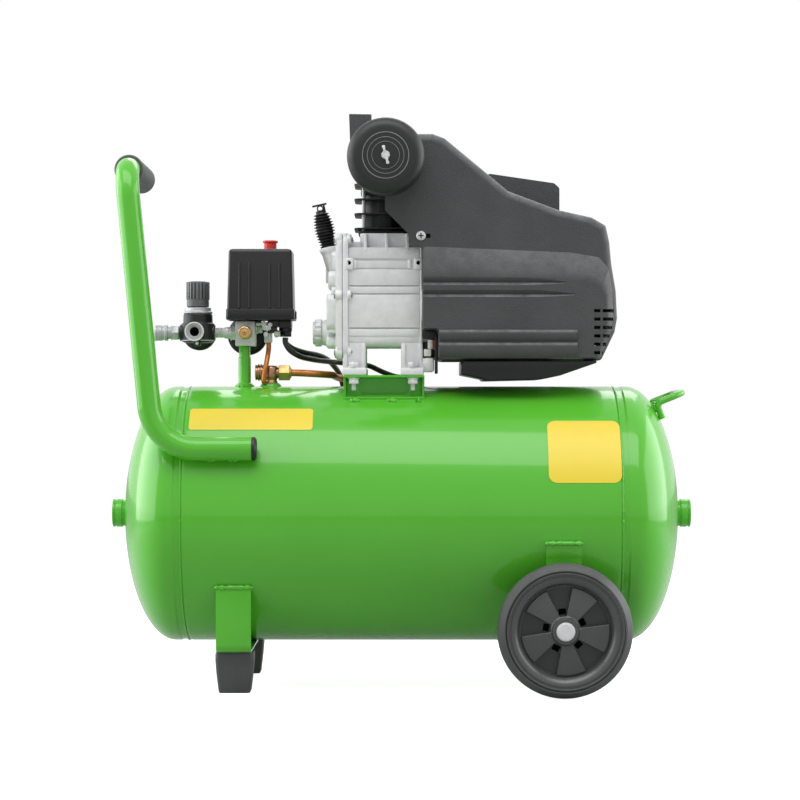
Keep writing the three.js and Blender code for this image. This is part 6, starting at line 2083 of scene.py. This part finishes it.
# ---------- Check valve, pipes, drain and leads ----------
@dataclass
class Pipework(Assembly):
    """Brass check valve, copper pipes and the drain.

    Args:
        tank: The tank that they screw into.
        unloader: Route of the pipe from the check valve to the switch.
    """

    tank: Tank
    delivery: tuple[Triple, ...] = (
        (-151, 0, 386), (-134, 0, 386), (-104, 2, 384.5), (-88, 14, 383.4), (-84, 44, 381.8),
        (-80, 68, 380.2), (-67, 84, 377.5), (-42, 87, 372), (-10, 86, 369), (7, 82, 379),
        (11, 76, 402), (11, 69.5, 460), (11, 68, 540), (10, 68, 612), (3, 63, 636),
        (-11, 56, 640.6), (-19.5, 48, 644.6), (-20.5, 38.3, 644.6))
    unloader: tuple[Triple, ...] = (
        (-166, 0, 424), (-166, -1, 416), (-167, -8, 406), (-168.8, -14, 394), (-171, -14.6, 381),
        (-171.4, -13.4, 375), (-170, -8.6, 373))

    def build_valve(self) -> None:
        """Check valve with its end cap, union nut and welded boss."""
        x, foot = -166.0, self.tank.axis_z + self.tank.radius
        z, upright = foot + 17, (x + 2.5, 0, 0)
        profile = [(0, foot + 0.4), (8.8, foot + 0.4), (8.8, foot + 5), (7.6, foot + 8),
                   (9.6, foot + 12), (9.6, foot + 23), (7.6, foot + 26), (0, foot + 26)]
        brass = Shape().turned(profile, 0.8, centre=upright)
        for low, high, reach in ((-16.6, -14.2, 9.4), (-13.4, -10.9, 10.3), (-10.2, -7.8, 10.3),
                                 (-7.0, -4.4, 9.8)):
            brass.ring(reach, 4, Axis.X, x + low, x + high, (0, 0, z + 0.4), 0.5)
        brass.rod(8.6, Axis.X, x - 15.6, x + 8, (0, 0, z + 0.4), 0.8, 40)
        for i in range(7):
            brass.ring(7.0, 4, Axis.X, x + 7.0 + i, x + 7.6 + i, (0, 0, z), 0.15, 36)
        brass.rod(6.2, Axis.X, x + 6, x + 15, (0, 0, z), edge=0.3)
        self.piece("check_valve_body", "bronze", brass, "check_valve")
        nut = Shape().hexagon(19, Axis.X, x + 12.6, x + 26.8, (0, 0, z), 30)
        nut.rod(7.0, Axis.X, x + 26, x + 28.4, (0, 0, z), edge=0.8)
        self.piece("check_valve_nut", "brass", nut)
        profile = [(8.9, foot - 1.5), (14.4, foot - 1.5), (12.4, foot + 2.4), (10.2, foot + 4.2),
                   (8.9, foot + 4.2)]
        boss = Shape().turned(profile, 0.8, 3, centre=upright)
        self.piece("check_valve_boss", "green_paint", boss)

    def build_drain(self) -> None:
        """Drain bushing and its wing-headed screw."""
        valve, screw = Box.of("drain_valve"), Box.of("drain_screw")
        centre, foot, top = (valve.centre.x, 0, 0), valve.low.z, valve.high.z
        ring = Shape().hexagon(19, Axis.Z, foot, foot + 9, centre)
        ring.drill(4.6, Axis.Z, foot - 3, foot + 14, centre, 32)
        bush = Shape().ring(7.8, 4.6, Axis.Z, top - 12, top, centre, 0.4, 40)
        self.piece("drain_bush", "brass", bush.add(ring), "drain_valve")
        plug = Shape().rod(4.0, Axis.Z, screw.low.z + 6, screw.high.z, centre, edge=0.6)
        plug.hexagon(13.5, Axis.Z, screw.low.z, screw.low.z + 11, centre)
        self.piece("drain_plug", "brass", plug, "drain_screw", "drain_screw")

    def build(self) -> None:
        """Makes the valve, pipes and drain."""
        self.build_valve()
        for name, route, steps, radius, sides in (("delivery", self.delivery, 8, 4.4, 28),
                                                  ("unloader", self.unloader, 10, 3.1, 24)):
            pipe = Shape().tube(smooth_path(route, steps), radius, sides)
            self.piece(f"{name}_tube", "copper", pipe, f"{name}_pipe")
        self.build_drain()


@dataclass(frozen=True)
class Lead:
    """Lead from the switch to the motor.

    Args:
        name: Name of the piece.
        stands_for: CAD node that it replaces.
        points: Route, in millimetres.
        radius: Radius of its sheath.
    """

    name: str
    stands_for: str
    points: tuple[Triple, ...]
    radius: float = 3.5

    def build(self, finish: bpy.types.Material) -> None:
        """Args:
            finish: Material of its sheath.
        """
        path = smooth_path(self.points, 6)
        data = bpy.data.curves.new(self.name, "CURVE")
        data.dimensions = "3D"
        data.bevel_depth = self.radius * MM
        data.bevel_resolution = 4
        data.use_fill_caps = True
        line = data.splines.new("POLY")
        line.points.add(len(path) - 1)
        for knot, place in zip(line.points, path):
            knot.co = (*place * MM, 1)
        line.use_smooth = True
        data.materials.append(finish)
        lead = bpy.data.objects.new(self.name, data)
        bpy.context.scene.collection.objects.link(lead)
        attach(lead, "frame")
        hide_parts(self.stands_for)


LEADS = (
    Lead("motor_lead_sheath", "motor_lead", (
        (-145, -4, 430), (-145, -4, 424), (-140, -3, 415), (-128, 4, 407), (-112, 22, 403),
        (-95, 48, 401), (-80, 66, 400), (-60, 76, 398), (-42, 80, 396), (-24, 86, 388),
        (-6, 92, 382), (8, 93, 381.5), (20, 88, 387), (30, 79.5, 397.5), (36, 73.5, 404),
        (41, 71, 406.4), (44, 71, 406.4))),
    Lead("pan_lead_sheath", "pan_lead", (
        (-145, 4, 430), (-145, 4, 424), (-137, 7, 417), (-123, 17, 412), (-107, 36, 409),
        (-95, 59, 404), (-87, 75, 396), (-79, 90, 384), (-74, 100, 366), (-62, 106, 347),
        (-42, 104, 337.5), (-14, 103, 336), (3, 103, 338), (14, 103, 344.5), (21, 102.7, 355),
        (24, 102, 368), (25, 99, 383), (28.5, 92, 398), (34.5, 83, 410), (41, 77, 415.4),
        (44, 77, 415.4))),
)


# ---------- Studio ----------
@dataclass
class Studio:
    """Floor, lamps, world and camera.

    Args:
        distance: Distance of the camera from the object's middle plane in metres.
        height: Height of the level camera in metres.
        aside: Place of the camera along X in metres.
        lens: Focal length in millimetres on a 36 mm sensor.
    """

    distance: float = 3.0
    height: float = 0.352
    aside: float = -0.0019
    lens: float = 108.0

    def camera(self) -> None:
        """Level camera that looks along +Y."""
        data = bpy.data.cameras.new("camera")
        data.lens = self.lens
        data.sensor_width = 36.0
        eye = bpy.data.objects.new("camera", data)
        eye.location = (self.aside, -self.distance, self.height)
        eye.rotation_euler = (math.pi / 2, 0, 0)
        bpy.context.scene.collection.objects.link(eye)
        bpy.context.scene.camera = eye

    def floor(self) -> None:
        """Pale floor that looks white and keeps the shadow."""
        bpy.ops.mesh.primitive_plane_add(size=60, location=(0, 0, 0))
        plane = bpy.context.object
        plane.name = "studio_floor"
        material = bpy.data.materials.new("studio_floor")
        material.use_nodes = True
        graph = Graph(material.node_tree)
        path = graph.node("LightPath").outputs
        seen = graph.math("MAXIMUM", path["Is Camera Ray"], path["Is Transmission Ray"])
        part = graph.ramp(path["Is Glossy Ray"], 0, 1, 0, 0.15)
        glow = graph.ramp(seen, 0, 1, 0, 0.88)
        shader = material.node_tree.nodes["Principled BSDF"]
        for name, value in {"Base Color": (0.5, 0.5, 0.5, 1), "Roughness": 0.85,
                            "Specular IOR Level": 0.1, "Emission Color": (1, 1, 1, 1),
                            "Emission Strength": graph.math("MAXIMUM", part, glow)}.items():
            graph.feed(shader, name, value)
        plane.data.materials.append(material)

    def lamp(self, name: str, place: Triple, aim: Triple, size: Pair, power: float) -> None:
        """Soft rectangular lamp.

        Args:
            name: Name of the lamp.
            place: Where it stands, in metres.
            aim: Point that it faces.
            size: Width and height.
            power: Power in watts.
        """
        data = bpy.data.lights.new(name, "AREA")
        data.shape = "RECTANGLE"
        data.size, data.size_y = size
        data.energy = power
        lamp = bpy.data.objects.new(name, data)
        lamp.location = place
        lamp.rotation_euler = (Vector(aim) - Vector(place)).to_track_quat("-Z", "Y").to_euler()
        bpy.context.scene.collection.objects.link(lamp)

    def world(self) -> None:
        """White surroundings for the camera and for reflections, dimmer as light."""
        world = bpy.data.worlds.new("studio")
        world.use_nodes = True
        bpy.context.scene.world = world
        world.node_tree.nodes.clear()
        graph = Graph(world.node_tree)
        path = graph.node("LightPath").outputs
        seen = graph.math("MAXIMUM", path["Is Camera Ray"], path["Is Glossy Ray"])
        seen = graph.math("MAXIMUM", seen, path["Is Transmission Ray"])
        strength = graph.ramp(seen, 0, 1, 0.27, 1.0)
        back = graph.node("Background", Color=(1, 1, 1, 1), Strength=strength)
        graph.node("OutputWorld", Surface=back.outputs[0])

    def build(self) -> None:
        """Makes the studio."""
        bpy.context.scene.view_settings.view_transform = "Standard"
        self.camera()
        self.floor()
        self.world()
        self.lamp("overhead", (-0.2, -1.2, 2.6), (0, 0, 0.35), (3.0, 1.6), 50)
        self.lamp("left", (-2.0, 0.1, 0.9), (0, 0, 0.4), (2.6, 1.7), 40)
        self.lamp("right", (2.0, 0.1, 0.9), (0, 0, 0.4), (2.6, 1.7), 37)
        self.lamp("back", (0.3, 2.2, 2.2), (0, 0, 0.4), (1.8, 1.0), 14)


HIDDEN_PARTS = {
    "piston": "cast_aluminium", "connecting_rod": "cast_aluminium", "crankshaft": "steel",
    "motor_rotor": "steel", "motor_stator": "winding_copper", "motor_end_bell": "cast_aluminium",
    "cooling_fan": "black_plastic", "filter_element": "filter_paper",
}


def dress_hidden_parts(palette: Palette) -> None:
    """Gives the CAD nodes that stay their finish."""
    for node, finish in HIDDEN_PARTS.items():
        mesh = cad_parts[node].data
        mesh.materials.clear()
        mesh.materials.append(palette.materials[finish])


def main() -> None:
    """Builds the studio and every sub-assembly."""
    logging.basicConfig(level=logging.INFO, format="%(name)s %(message)s")
    Studio().build()
    palette = Palette(FINISHES)
    for lead in LEADS:
        lead.build(palette.materials["lead_sheath"])
    tank, pump = Tank(palette), Pump(palette)
    for assembly in (tank, Undercarriage(palette, tank), Wheels(palette), Handle(palette, tank),
                     Platform(palette, tank), pump, Cylinder(palette, pump), Shroud(palette),
                     Filter(palette), Fittings(palette), PressureSwitch(palette),
                     Pipework(palette, tank)):
        assembly.build()
    dress_hidden_parts(palette)


if __name__ == "__main__":
    main()
